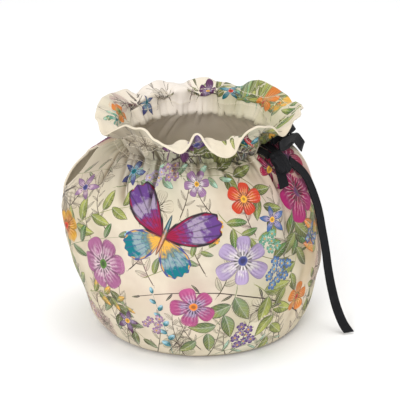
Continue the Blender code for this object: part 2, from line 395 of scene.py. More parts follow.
PUCKER_LENGTH = 7.5
PUCKER_HEIGHT = 0.3
PUCKER_REACH = 6.0
PUCKER_RAMP = 2.0
PRINT_RADIUS = 97.0
MM_PER_DEGREE = np.radians(1.0) * PRINT_RADIUS
GATHERED_SHARE = 0.5
EDGE_ROUND = 0.36
TURNED = [0, 3, 2, 1]

# ---- The ribbon

RIBBON_WIDTH = 8.0 * MM
RIBBON_THICKNESS = 0.9 * MM
RIBBON_STEP = 1.0 * MM
SELVEDGE = 0.35
SELVEDGE_AT = 0.46
SELVEDGE_HALF = 0.035
EDGE_FALL = 0.02
RIBBON_SIDE_STEPS = 12
# X, y and z in mm, azimuth and tilt of the width
RIBBON_ROUTES = {
    "tail_long": rows_of("""
75.4 -32.4 147.2 79 33
77.6 -31.1 145 77 33
80.3 -29.5 142.2 74 32
86 -26.5 136 68 30
90.9 -24.5 128 60 25
94.6 -24 119 54 19
99.9 -23.8 102 48 12
103.2 -23.2 84.6 43 8
106.3 -23.2 67.4 40 6
108.8 -24 50.4 37 7
112.3 -26.2 33 34 9
117 -30.2 17 32 13
121.8 -34 6.8 32 17
125.8 -37 1.6 32 17
"""),
    "tail_short": rows_of("""
65.5 -42.6 150 30 -4
67.6 -44.4 145.4 28 -2
68.9 -45.7 141 25 1
70.4 -48.7 135.6 25 3
71.4 -50.9 131.9 25 4
"""),
    "loop_side": rows_of("""
67.4 -35.2 159.4 60 80
69.7 -30.9 160.4 60 78
73 -26.2 160.8 45 70
76 -21.3 160.8 36 60
79 -15.4 159.8 32 55
81.5 -9 157.6 32 55
84.5 -3 152 32 58
87 1.1 147.2 36 60
87.8 5.4 144.6 60 66
86.6 7.9 146 110 66
83.4 5.1 150.2 140 66
80 -1.3 154.4 145 66
77.3 -8.7 154.8 145 68
74.1 -16.9 155 145 74
71.1 -23.5 155.8 140 78
68.2 -28.8 157.4 140 80
"""),
    "loop_upper": rows_of("""
62.5 -29.2 162.2 150 82
65.9 -24 163.2 150 80
70.6 -17.8 164.4 154 72
75.8 -9.3 164.8 156 62
79 -0.8 164 156 55
79.6 6 162.8 156 55
78.2 10.2 161 156 55
75.2 9.4 159.9 156 58
72 2.1 159.8 156 64
69.3 -7.7 160 156 70
66.3 -16 160.6 154 76
63.3 -21.8 161.4 150 80
61.3 -25.6 161.8 150 82
"""),
    "drawstring_end_front": rows_of("""
50.4 -34.4 157.6 52 0
52.2 -35.7 157.1 52 0
54.8 -37.1 156 52 0
58.7 -38.7 153.8 53 0
60.5 -39.6 152.4 54 0
"""),
    "drawstring_end_side": rows_of("""
54.4 -23.4 158 64 0
57.6 -25 157.4 64 0
61 -27.2 156 63 0
64.1 -30 153.8 62 0
66 -32.2 151.9 61 0
"""),
}
FREE_CORDS = {  # what each declared ribbon ends in, and how it lies
    "tail_long": ("bare", "hanging"),
    "loop_side": ("object", "loose"),
    "loop_upper": ("object", "loose"),
}
SLANTED_ENDS = {"tail_long": 3.5 * MM, "tail_short": -2.0 * MM}

KNOT_CENTRE = np.array([68.3, -42.2, 149.5]) * MM
KNOT_SIZE = np.array([15.4, 9.0, 20.4]) * MM
KNOT_TURN = -122.3
KNOT_TILT = 43.0
KNOT_STEPS = (96, 64)
KNOT_SQUARENESS = 0.78
KNOT_RIB = 0.02
KNOT_RIBS = 21.0
KNOT_FOLDS = (  # direction across it, place along it, half width, depth, as shares of its size
    (18.0, -0.20, 0.045, 0.10),
    (8.0, 0.16, 0.05, 0.09),
    (-12.0, 0.34, 0.04, 0.07),
    (74.0, -0.30, 0.04, 0.08),
    (100.0, 0.26, 0.04, 0.08),
)

# ---- The print's colours


def srgb(red, green, blue):
    """A screen colour of 0 to 255 as linear light."""
    share = np.array([red, green, blue]) / 255.0
    low = share / 12.92
    high = ((share + 0.055) / 1.055) ** 2.4
    return (*np.where(share <= 0.04045, low, high), 1.0)


SCREEN_COLOURS = rows_of("""
cream 219 208 187
sand 203 190 166
white 238 230 226
blush 228 196 206
lilac 180 160 196
mauve 150 112 150
dusk 170 102 144
violet 98 62 128
plum 96 50 92
indigo 70 74 132
blue 70 104 160
sky 150 196 214
teal 10 112 122
sea 96 158 132
mint 168 208 184
leaf 82 120 52
sage 122 138 98
moss 134 142 72
lime 168 172 84
olive 100 102 52
sun 230 172 58
orange 226 132 52
vermilion 206 66 40
rose 190 88 140
magenta 164 28 100
crimson 150 22 62
bark 66 54 46
taupe 116 104 88
ghost 142 128 108
ghost_green 134 140 102
ghost_rose 166 120 124
ink 46 38 44
""")
PALETTE = {name: srgb(*colour) for name, *colour in SCREEN_COLOURS}

# ---- The print's motifs, by azimuth and distance up the cloth

BLOOM_FORMS = {  # petal width, tip bluntness: a petal is (along ** 0.9) * (1 - along) ** point
    "round": (0.62, 0.30),
    "full": (0.78, 0.36),
    "pointed": (0.42, 0.95),
    "slim": (0.34, 0.55),
}
# Azimuth, up, radius in mm, turn, petals, form, petal, throat, heart
BLOOMS = rows_of("""
-139 90 23 12 6 full dusk blush leaf
-70 103 23 25 6 round lilac white indigo
-66 150 16 5 5 full vermilion orange sun
-93 67 19 40 5 full rose lilac orange
-134 166 14 15 5 pointed indigo sky teal
-128 44 12 0 5 pointed plum lilac sun
-159 143 13 20 5 pointed mauve blush indigo
-28 142 26 10 6 full magenta crimson plum
-166 106 15 30 6 full sun orange vermilion
-92 164 12 8 6 round mauve white sun
-37 58 14 8 5 full orange sun vermilion
-52 130 13 18 5 pointed blue lilac sun
-40 166 14 30 5 round crimson magenta sun
-16 168 20 20 6 full crimson magenta plum
-92 208 17 10 5 pointed violet lilac indigo
-103 196 13 0 5 full plum mauve olive
-72 192 14 10 5 full olive lime bark
-30 206 12 0 5 pointed sun orange vermilion
""")
BUTTERFLY = {
    "azimuth": -108.0,
    "up": 122.0,
    "turn": -18.0,
    "wings": (  # direction, length in mm, width as a share of it, root, web and rim
        (32.0, 47.0, 0.56, "crimson", "violet", "ink"),
        (148.0, 47.0, 0.56, "crimson", "violet", "ink"),
        (-42.0, 34.0, 0.70, "sun", "teal", "indigo"),
        (-138.0, 34.0, 0.70, "sun", "teal", "indigo"),
    ),
    "body": (34.0, 0.13, "orange", "teal"),
}
# Azimuth, up, spread in mm, how many, radius in mm, petal, throat
FLORET_CLUSTERS = rows_of("""
-52 88 12 9 4.6 blue sky
-56 114 9 6 4 sea mint
-158 38 10 7 4.6 ghost_rose blush
-110 174 9 6 4.2 mauve blush
-124 116 7 4 3.8 sky white
-68 36 10 8 4.6 violet lilac
-118 166 8 5 3.8 lilac white
-112 48 9 5 4.2 mauve blush
-83 127 7 4 4 sun orange
-24 104 9 6 4 indigo sky
""")
LEAF_FORMS = {  # width as a share of the length, base, point
    "broad": (0.46, 0.75, 1.05),
    "oval": (0.40, 0.60, 0.75),
    "slim": (0.22, 0.75, 0.95),
    "bud": (0.62, 0.55, 0.65),
}
# Start, via and end as azimuth and up, stem in mm, leaves, length in mm, form, tint, tip
SPRIGS = rows_of("""
-168 93 -151 133 -126 143 0.7 8 23 broad moss lime
-173 79 -157 102 -131 116 0.6 6 20 oval sage leaf
-136 75 -138 52 -120 30 0.7 7 22 broad olive sage
-140 152 -110 178 -78 168 0.7 9 18 oval sage mint
-86 178 -58 170 -54 132 0.8 8 25 broad olive moss
-36 134 -36 100 -47 73 0.7 6 26 broad moss olive
-73 83 -75 60 -92 34 0.7 6 29 broad sage moss
-64 82 -50 66 -54 30 0.7 6 29 broad moss lime
-60 104 -50 95 -36 98 0.6 4 22 broad olive leaf
-105 18 -106 48 -112 76 0.5 8 8.5 bud teal sky
-82 18 -70 30 -48 24 0.6 7 15 slim sage mint
-152 58 -142 66 -128 58 0.6 6 17 oval moss sun
-116 88 -99 104 -86 116 0.6 7 15 oval moss sage
-35 44 -74 96 -118 72 1.3 6 13 slim bark olive
-170 148 -161 157 -146 172 0.5 6 14 slim ghost_green ghost
-18 84 -24 104 -16 126 0.6 6 26 broad moss orange
-46 112 -34 116 -14 110 0.7 7 26 broad olive leaf
-80 140 -72 120 -56 114 0.7 6 18 oval moss leaf
-22 26 -14 44 -22 66 0.6 6 20 broad olive lime
-168 26 -160 50 -166 72 0.6 6 22 broad sage lime
-113 185 -108 196 -98 212 0.8 6 26 oval plum olive
-97 184 -92 194 -82 203 0.9 5 30 broad olive moss
-110 184 -100 189 -84 187 1 8 15 slim bark olive
-86 186 -76 194 -68 208 0.8 6 28 broad moss lime
-74 184 -64 190 -54 188 1 8 18 oval bark olive
-59 186 -60 196 -55 200 0.9 2 36 oval teal sky
-53 186 -53 196 -50 198 0.9 2 32 slim vermilion crimson
-50 186 -42 196 -36 216 0.8 7 26 broad olive lime
-44 200 -34 204 -22 202 0.7 6 20 oval lime sage
-38 186 -28 194 -20 208 0.7 6 22 broad moss lime
-16 186 -10 198 -4 214 0.6 6 18 oval moss lime
-178 187 -170 198 -164 213 0.6 6 18 oval moss sage
""")
# Start azimuth and up, height in mm, lean in degrees, leaves, leaf length, form, tint
GHOST_SPRIGS = rows_of("""
-172 20 70 6 9 14 oval ghost
-162 16 62 -8 10 13 slim ghost
-152 18 58 8 9 15 broad ghost_rose
-143 16 76 -4 11 12 slim ghost
-133 16 50 12 8 13 oval ghost_green
-124 16 66 -8 10 11 slim ghost
-114 16 40 10 7 12 slim ghost_green
-98 16 46 -10 8 12 oval ghost
-86 16 42 12 8 12 slim ghost_green
-76 16 30 -6 6 13 slim ghost
-60 16 44 12 8 13 slim ghost_green
-46 16 50 -8 8 13 oval ghost
-34 18 40 8 7 13 slim ghost_rose
-20 20 44 -8 8 13 slim ghost
-8 22 34 6 7 12 slim ghost_rose
-176 82 40 16 6 22 broad ghost
-149 108 30 -16 6 14 slim ghost_green
-121 130 36 -10 7 12 slim ghost
-88 96 44 -18 8 12 slim ghost
-82 76 34 20 7 13 oval ghost_green
-63 122 34 -12 6 14 slim ghost_rose
-100 138 38 8 8 11 slim ghost
-132 150 34 -10 7 11 oval ghost
-66 164 26 14 6 12 slim bark
-45 104 44 -6 8 13 slim ghost
-112 84 32 -24 6 13 oval ghost_rose
-154 142 38 8 7 14 broad ghost
-102 170 22 -14 6 11 slim bark
-118 168 22 10 6 11 slim bark
-12 96 50 -4 8 14 slim ghost
-166 120 30 24 8 11 slim bark
-140 118 34 -30 8 10 slim bark
-124 92 26 36 7 10 slim bark
-96 118 30 30 8 10 slim bark
-82 138 30 -34 8 10 slim bark
-56 72 34 26 8 11 slim bark
-148 60 34 20 9 10 slim bark
-130 30 40 -24 9 10 slim bark
-106 22 36 26 9 10 slim bark
-90 26 30 -30 8 10 slim bark
-74 18 36 24 9 10 slim bark
-42 20 36 -20 9 10 slim bark
-160 186 28 12 8 11 slim bark
-149 186 30 -10 9 11 slim ghost
-141 186 30 14 9 10 slim bark
-133 185 27 20 8 10 slim ghost
-124 184 25 24 8 11 slim bark
-116 184 22 20 8 12 slim bark
-90 186 26 6 8 11 slim bark
-68 186 28 6 8 12 slim bark
-46 186 28 -8 8 12 slim bark
-26 186 28 6 7 12 slim bark
""")
GHOST_BLOOMS = rows_of("""
-174 128 26 12 6 full sand cream ghost
-150 30 16 20 6 full ghost_rose cream ghost
-166 58 20 0 7 full sand cream ghost
-100 28 15 30 5 full ghost_green cream ghost
-60 60 16 0 6 full sand cream ghost
-112 144 14 10 5 full sand cream ghost
-14 70 20 10 6 full ghost_rose cream ghost
-152 207 13 0 6 full sand sand bark
-126 200 15 10 6 full sand sand bark
-80 200 14 0 6 full ghost_green olive bark
""")
INNER_BLOOMS = rows_of("""
22 207.6 13 10 5 full sun lime orange
34 204.2 16 10 5 full orange sun vermilion
66 202.5 15 20 5 pointed teal sky vermilion
84 209.2 10 20 5 full plum lilac sun
136 194.1 13 15 5 pointed indigo sky teal
168 200.8 13 10 5 full orange lime leaf
-174 202.5 13 0 5 slim sea mint teal
-92 207.6 10 20 5 round violet lilac sun
""")
INNER_SPRIGS = rows_of("""
14 190.7 22 202.5 30 215.1 0.7 7 20 broad sage lime
30 187.4 34 200.8 48 214.3 0.7 8 22 broad moss lime
44 187.4 52 202.5 62 215.1 0.7 8 22 broad sea lime
62 187.4 60 200.8 50 216 0.7 7 20 oval moss sage
74 188.2 80 200.8 74 215.1 0.7 7 18 oval olive lime
92 189 86 200.8 92 214.3 0.6 7 14 slim olive moss
152 187.4 148 197.5 140 215.1 0.9 10 13 slim bark ghost
140 190.7 146 200.8 156 210.9 0.7 7 11 slim bark ghost_rose
162 189 172 197.5 186 209.2 0.6 7 17 oval moss mint
-160 190.7 -152 199.1 -142 214.3 0.7 8 12 slim bark ghost
-80 187.4 -72 200.8 -64 214.3 0.6 7 14 oval olive lime
-16 189 -8 200.8 6 212.6 0.6 7 20 broad leaf lime
""")
INNER_GHOSTS = rows_of("""
112 189 28 6 8 9 slim ghost
126 189 30 -6 8 9 slim bark
98 189 24 -6 6 9 oval ghost_rose
178 189 28 8 8 10 slim ghost
-130 187.4 28 8 8 9 slim ghost
-148 187.4 28 -8 8 9 slim bark
-112 187.4 24 -8 7 9 slim ghost_rose
-36 187.4 26 4 7 10 slim ghost
""")
INNER_GHOST_BLOOMS = rows_of("""
120 202.5 14 0 6 full sand cream ghost
156 205.9 13 0 6 full ghost_rose cream ghost
-138 202.5 15 0 6 full sand cream ghost
""")
OUTSIDE, INSIDE = 0, 1
# Side, azimuth, up, radius in mm, tint, weight. The two heavy taupe washes outside, at -142 and -122
# on the front frill, are painted shade on its outer face, which faces down.
WASHES_AND_SHADE = rows_of("""
0 -142 204 26 taupe 3.4
0 -122 198 24 taupe 2.8
0 -104 192 12 plum 0.9
0 -84 192 18 olive 3
0 -64 192 18 olive 2.6
0 -54 202 12 teal 1.2
0 -40 202 20 moss 1.2
0 -24 146 26 crimson 1.2
0 -36 108 22 olive 0.4
0 -160 164 20 taupe 0.3
0 -60 170 18 taupe 0.4
1 110 200 50 white 1
1 26 201 24 lime 0.5
1 50 201 26 sage 0.5
1 70 201 20 lime 0.4
1 172 201 20 ghost_green 0.4
1 2 201 20 sage 0.4
""")
STEM_STEPS = 28
STEM_PAD = 2.4
GOLDEN_TURN = 137.5
LEAF_SPREAD = 46.0
LEAF_SHRINK = 0.35
THICK_STEM = 0.9
GHOST_STEM = 0.9
GHOST_BEND = 0.12
GHOST_FILL = 0.42
GHOST_LINE = 1.0
WASH_STRENGTH = 0.5
LEAST_WASH = 1e-6
# Painted shade: the cloth's colour is multiplied towards this dark tone where the painted shade is deep, in creases,
# pleats and gathers, under the frill and at the foot; the inner face gets a share of it.
PAINTED_SHADE_FULL = 2.2
INNER_SHADE_SHARE = 0.45
FOLD_SHADE = 0.85
PAINTED_SHADE_TONE = (0.42, 0.37, 0.30, 1.0)
LEAF_SHADE = (0.46, 0.50, 0.46, 1.0)
PETAL_SHADE = (0.60, 0.60, 0.60, 1.0)
SHADE_REACH = (0.5, -0.25)
# Painted shade between the threads of the cotton's weave.
SHADE_BETWEEN_THREADS = (0.93, 0.93, 0.93, 1.0)
BLACK = (0.012, 0.012, 0.014, 1.0)
# Painted shade in the grooves between the ribbon's ribs.
BLACK_SHADED_BETWEEN_RIBS = (0.004, 0.004, 0.005, 1.0)
BLACK_WORN = (0.022, 0.022, 0.025, 1.0)
PETAL_BASE = 0.9
WING_FORM = (0.80, 0.36)
BODY_FORM = (0.5, 0.5)
BODY_BEHIND = 0.45
LEAF_BEND = 0.55
LEAF_VEINS = 7.0
PETAL_UNEVEN = 0.2
PETAL_VEINS = 2.6
STAMENS = 15.0
WING_RIBS = 5.5
STITCH_LENGTH = 3.2 * MM
STITCH_THREAD = 0.35
COTTON_THREADS = 1500.0
RIBBON_THREADS = 2600.0
RIBS_PER_METRE = 1400.0
SLANT_ROWS = 12
CUT_SIZE = (0.31, 0.24)
NOWHERE = (-1.0, 9.0, 0.0)
FAR = 1000.0
MOTIF_REACH = 1.3
MOTIF_PAD = 1.4
BEND_ROOM = 0.07
TINT_PARTS = ("_tint", "_second", "_third")
MOTIF_INPUTS = "Place Shape First Second Third Ink Pigment"
NUMBER_SOCKETS = "Pigment Threads Distance Along Line Mask Height Tone".split()
PRINT_LAYERS = {  # each layer, from the lowest up, and how it is drawn
    "ghost_bloom": "bloom",
    "ghost_stem": "stem",
    "ghost_leaf_low": "leaf",
    "ghost_leaf_high": "leaf",
    "stem": "stem",
    "leaf_deep": "leaf",
    "leaf_low": "leaf",
    "leaf_mid": "leaf",
    "leaf_high": "leaf",
    "floret": "bloom",
    "wing_low": "wing",
    "wing_high": "wing",
    "bloom": "bloom",
    "leaf_top": "leaf",
}

# ---- Curves and sections


def unit(vectors):
    return vectors / np.linalg.norm(vectors, axis=-1, keepdims=True)


def ramp(value):
    return np.clip(value, 0.0, 1.0)


def bell(distance, half_width):
    return np.exp(-((distance / half_width) ** 2))


def beside(*arrays):
    """These arrays side by side, along a new last axis."""
    return np.stack(arrays, axis=-1)


def running(steps):
    """The distance gone at the start and after each of these steps."""
    return np.concatenate([[0.0], np.cumsum(steps)])


def smooth_through(knots, values, at):
    """The values at these places on a smooth curve through every knot: a cubic between each two,
    whose slope at a knot is taken from its neighbours."""
    slopes = np.gradient(values, knots, axis=0)
    low = np.clip(np.searchsorted(knots, at, side="right") - 1, 0, len(knots) - 2)
    span = (knots[low + 1] - knots[low])[:, None]
    t = (at - knots[low])[:, None] / span
    start = (1 + 2 * t) * (1 - t) ** 2 * values[low] + t * (1 - t) ** 2 * span * slopes[low]
    end = t**2 * (3 - 2 * t) * values[low + 1] - t**2 * (1 - t) * span * slopes[low + 1]
    return start + end


def turn_between(a, b):
    """The turn in degrees from azimuth b to azimuth a, the short way round."""
    return (a - b + FULL_TURN / 2) % FULL_TURN - FULL_TURN / 2


def polar(radius, azimuth, height):
    """Points around the pot's axis, as an array whose last axis is x, y, z."""
    turn = np.radians(azimuth)
    return beside(*np.broadcast_arrays(AXIS_X + radius * np.cos(turn), radius * np.sin(turn), height))


def section_rows():
    """Height, radius and the two swells at each row of the body, and its distance up the cloth."""
    table = np.array(SECTIONS_MM) * MM
    along = running(np.hypot(*np.diff(table[:, :2], axis=0).T))
    places = np.linspace(0.0, along[-1], BODY_ROWS)
    return smooth_through(along, table, places), places


def pleat_depth(azimuth, below_neck):
    """How far the gathers draw the cloth in: the sum of one bell curve for each pleat, which
    fades with another bell curve down the cloth."""
    depth = np.zeros(np.broadcast(azimuth, below_neck).shape)
    for centre, half_width, deepest, reach in PLEATS:
        across = bell(turn_between(azimuth, centre), half_width)
        depth += deepest * MM * across * bell(below_neck, reach * MM)
    return depth


def pleat_shade(azimuth, below_neck):
    """Painted shade in the pleats: how much deeper they are here than the cloth a little to both sides of it, in mm,
    times PLEAT_SHADE.
    """
    here = pleat_depth(azimuth, below_neck * MM)
    sides = [pleat_depth(azimuth + turn, below_neck * MM) for turn in (-PLEAT_BESIDE, PLEAT_BESIDE)]
    return PLEAT_SHADE * (here - np.maximum(*sides)) / MM


def body_points(azimuth, rows):
    """The body's outer face: the section's radius at each row, plus a bell-shaped swell at the
    spout and at the handle, less the pleats, and wider at the neck where the drawstring is slack."""
    height, radius, spout_swell, handle_swell = (rows[:, k, None] for k in range(4))
    radius = radius + spout_swell * bell(turn_between(azimuth, SPOUT_AZIMUTH), SPOUT_SPREAD)
    radius = radius + handle_swell * bell(turn_between(azimuth, HANDLE_AZIMUTH), HANDLE_SPREAD)
    radius = radius - pleat_depth(azimuth, rows[-1, 0] - height)
    slack = ramp((height - NECK_SPREAD_FROM) / (rows[-1, 0] - NECK_SPREAD_FROM))
    for centre, half_width, more in NECK_SPREAD:
        radius = radius + more * MM * slack * bell(turn_between(azimuth, centre), half_width)
    return polar(radius, azimuth, height)


def frill_points(azimuth, neck_radius, neck_height):
    """The frill above the neck: each column is a cubic from the neck to the rim, and its handles
    are halved towards the length that gives the column the frill's cut length."""
    table = np.array(FRILL_FOLDS)
    table = np.concatenate([table[-2:], table, table[:2]])
    table[:2, 0] -= FULL_TURN
    table[-2:, 0] += FULL_TURN
    rim_radius, rim_height, slope = smooth_through(table[:, 0], table[:, 1:], azimuth).T
    lean = np.radians(FRILL_LEAN + FRILL_LEAN_PER_SLOPE * slope)
    slope = np.radians(slope)
    low = beside(neck_radius, np.full_like(neck_radius, neck_height))
    high = beside(rim_radius, rim_height) * MM
    up = beside(np.sin(lean), np.cos(lean))
    out = beside(np.cos(slope), np.sin(slope))

    def section(handle, t):
        handle = handle[:, None]
        t = t[:, None, None]
        start = (1 - t) ** 3 * low + 3 * t * (1 - t) ** 2 * (low + handle * up)
        return start + 3 * t**2 * (1 - t) * (high - handle * out) + t**3 * high

    fine = np.linspace(0.0, 1.0, FRILL_MEASURE_STEPS + 1)
    short = np.zeros(len(azimuth))
    long = np.full(len(azimuth), FRILL_LENGTH)
    for _ in range(HANDLE_ROUNDS):
        handle = (short + long) / 2
        length = np.linalg.norm(np.diff(section(handle, fine), axis=0), axis=-1).sum(axis=0)
        short = np.where(length < FRILL_LENGTH, handle, short)
        long = np.where(length < FRILL_LENGTH, long, handle)
    rows = section(short, np.linspace(0.0, 1.0, FRILL_ROWS + 1)[1:])
    return polar(rows[..., 0], azimuth, rows[..., 1])


def seam_opening(opening, height):
    """Half the gap between the two panels at a seam: the hole's outline, or just the sewn seam."""
    share = ramp((height - opening["low"]) / (opening["high"] - opening["low"]))
    return SEAM_GAP / 2 + opening["half_width"] * np.sin(np.pi * share) ** opening["bluntness"]


# ---- The finished cloth


def uneven_waves(azimuth, waves):
    """A sum of sine waves round the pot, in mm, each with its own slower sine in its phase."""
    turn = np.radians(azimuth)
    total = np.zeros(azimuth.shape)
    for count, height, phase, unevenness, slow in waves:
        total += height * np.sin(count * turn + phase + unevenness * np.sin(slow * turn + phase))
    return total


def crease_depth(azimuth, up):
    """The creases, in mm: along each one's line a bell-shaped trough, with a soft lip beside it,
    both of which fade past its ends."""
    depth = np.zeros(azimuth.shape)
    for start, low, end, high, half_width, deepest, lip in CREASES:
        line = np.array([turn_between(end, start) * MM_PER_DEGREE, high - low])
        length = np.hypot(*line)
        way = line / length
        x = turn_between(azimuth, start) * MM_PER_DEGREE
        y = up - low
        along = x * way[0] + y * way[1]
        across = y * way[0] - x * way[1]
        past = np.maximum(np.maximum(-along, along - length), 0.0)
        ridge = bell(np.abs(across) - 2.0 * half_width, half_width)
        depth += bell(past, CREASE_FADE) * (deepest * bell(across, half_width) - lip * ridge)
    return depth


def slack_height(azimuth, up):
    """The cloth's soft unevenness, in mm: a few slanting waves, none at the foot or the neck."""
    x = np.radians(azimuth) * PRINT_RADIUS
    total = np.zeros(azimuth.shape)
    for across, upwards, phase, height in SLACK:
        total += height * np.sin(2 * np.pi * (x / across + up / upwards) + phase)
    return total * ramp((up - SLACK_FROM) / SLACK_RAMP)


def panel_cloth(seams):
    """One panel as arrays over its grid: the face it would have flat, its normals, how far the
    finished cloth stands off it, how much thicker its hems are, how much painted shade it gets in
    its folds, under the frill and at the foot, and where each point is in the cloth."""
    rows, body_up = section_rows()
    height, radius = rows[:, 0], rows[:, 1]
    edges = []
    openings = []
    for seam_azimuth, opening, way_in in seams:
        gap = seam_opening(opening, height)
        edges.append(seam_azimuth + way_in * np.degrees(gap / radius))
        openings.append(np.concatenate([gap, np.full(FRILL_ROWS, gap[-1])]) - SEAM_GAP / 2)
    share = np.linspace(0.0, 1.0, COLUMNS + 1)
    azimuth = edges[0][:, None] * (1 - share) + edges[1][:, None] * share
    body = body_points(azimuth, rows)
    neck_radius = np.hypot(body[-1, :, 0] - AXIS_X, body[-1, :, 1])
    points = np.concatenate([body, frill_points(azimuth[-1], neck_radius, rows[-1, 0])])
    azimuth = np.concatenate([azimuth, np.repeat(azimuth[-1:], FRILL_ROWS, axis=0)])
    frill_up = body_up[-1] + FRILL_LENGTH * np.linspace(0.0, 1.0, FRILL_ROWS + 1)[1:]
    up = np.concatenate([body_up, frill_up])[:, None] / MM + np.zeros_like(azimuth)
    neck_up = body_up[-1] / MM
    above = up - neck_up
    print_radius = np.concatenate([radius, np.full(FRILL_ROWS, radius[-1])]) / MM
    gathered = GATHERED_SHARE * ramp((up[:, 0] - (neck_up - SHOULDER_DOWN)) / SHOULDER_RAMP)
    print_radius = print_radius * (1 - gathered) + PRINT_RADIUS * gathered

    swell = bell(above, np.where(above < 0, GATHER_REACH_DOWN, GATHER_REACH_UP))
    at_rim = np.maximum(swell, GATHER_AT_RIM * ramp(above / NECK_RAMP))
    off = uneven_waves(azimuth, GATHERS) * np.where(above > 0, at_rim, swell)
    creases = crease_depth(azimuth, up)
    # Painted shade: deeper in the creases, in the troughs of the gathers and in the pleats, in a band of shadow under
    # the frill, and in a line at the foot.
    sunk = creases - off + pleat_shade(azimuth, neck_up - up)
    sunk += NECK_SHADE * bell(above + CASING_HALF, NECK_SHADE_HALF)
    sunk += FOOT_SHADE * bell(up - FOOT_SHADE_UP, FOOT_SHADE_HALF)
    off += uneven_waves(azimuth, RUFFLES) * ramp(above / FRILL_LENGTH * MM)
    off += CASING_PUFF * bell(above, CASING_HALF * CASING_ROUND)
    off -= creases
    off += slack_height(azimuth, up) * ramp(-above / NECK_RAMP)

    steps = np.linalg.norm(np.diff(points, axis=1), axis=-1) / MM
    along = np.concatenate([np.zeros((len(up), 1)), np.cumsum(steps, axis=1)], axis=1)
    from_seam = [along, along[:, -1:] - along]
    thicker = np.zeros_like(off)
    for distance, gap in zip(from_seam, openings):
        hemmed = ramp(gap / MM)[:, None]
        thicker += HEM_THICKER * hemmed * ramp((HEM_WIDTH - distance) / HEM_RAMP)
        off -= SEAM_SINK * (1 - hemmed) * bell(distance, SEAM_SINK_HALF)
        puckers = np.sin(2 * np.pi * up / PUCKER_LENGTH) * np.exp(-distance / PUCKER_REACH)
        off += PUCKER_HEIGHT * puckers * (1 - hemmed) * ramp(distance / PUCKER_RAMP)
    from_rim = up[-1:] - up
    thicker += HEM_THICKER * ramp((HEM_WIDTH - from_rim) / HEM_RAMP)
    for line in (from_rim - HEM_WIDTH, np.abs(above) - CASING_HALF, up - FOOT_STITCH_UP):
        off -= STITCH_SINK * bell(line, STITCH_HALF)
    return {
        "points": points,
        "normals": unit(np.cross(np.gradient(points, axis=1), np.gradient(points, axis=0))),
        "off": off * MM,
        "thicker": thicker * MM,
        "sunk": sunk,
        "azimuth": azimuth,
        "up": up,
        "print_radius": print_radius[:, None] + np.zeros_like(azimuth),
        "edges": beside(np.minimum(*from_seam), from_rim, above),
    }


def border_of(rows, columns):
    """The border of a grid as indices, in the order in which its own faces pass it, and for each
    of its points the one next to it inside the grid."""
    row, column = np.indices((rows, columns))
    index = row * columns + column
    inside = np.clip(row, 1, rows - 2) * columns + np.clip(column, 1, columns - 2)

    def around(grid):
        return np.concatenate([grid[0, :-1], grid[:-1, -1], grid[-1, :0:-1], grid[:0:-1, 0]])

    return around(index), around(inside)


def face_corners(grid):
    """A grid's values at the four corners of each of its faces: across, up, and back, so that they
    face out where columns run round the axis the way that azimuth grows."""
    corners = [grid[:-1, :-1], grid[:-1, 1:], grid[1:, 1:], grid[1:, :-1]]
    return np.stack([corner.reshape(-1, *grid.shape[2:]) for corner in corners], axis=1)


def new_piece(name, points, faces, material):
    mesh = bpy.data.meshes.new(name)
    mesh.from_pydata(points.tolist(), [], faces)
    mesh.shade_smooth()
    mesh.materials.append(material)
    made = bpy.data.objects.new(name, mesh)
    bpy.context.scene.collection.objects.link(made)
    return made


def set_attribute(mesh, name, kind, domain, values):
    key = {"FLOAT": "value", "FLOAT_VECTOR": "vector", "FLOAT_COLOR": "color"}[kind]
    attribute = mesh.attributes.new(name, kind, domain)
    attribute.data.foreach_set(key, np.ascontiguousarray(values, dtype=np.float32).ravel())


def set_uv(mesh, corners):
    mesh.uv_layers.new(name="cloth").data.foreach_set("uv", corners.astype(np.float32).ravel())


def fitted(made, node, slot):
    """The piece, fixed to the part's one body in the place of this node."""
    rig.ride(made, "root")
    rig.replaces(made, node)
    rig.slot(made, slot)
    return made


# ---- The print: where each motif lies


def around(cloth, azimuth, up):
    """Each corner's place on the cloth from this point, in mm: the arc at the print's radius, and
    the distance up."""
    return np.radians(turn_between(cloth["azimuth"], azimuth)) * cloth["print_radius"], cloth["up"] - up


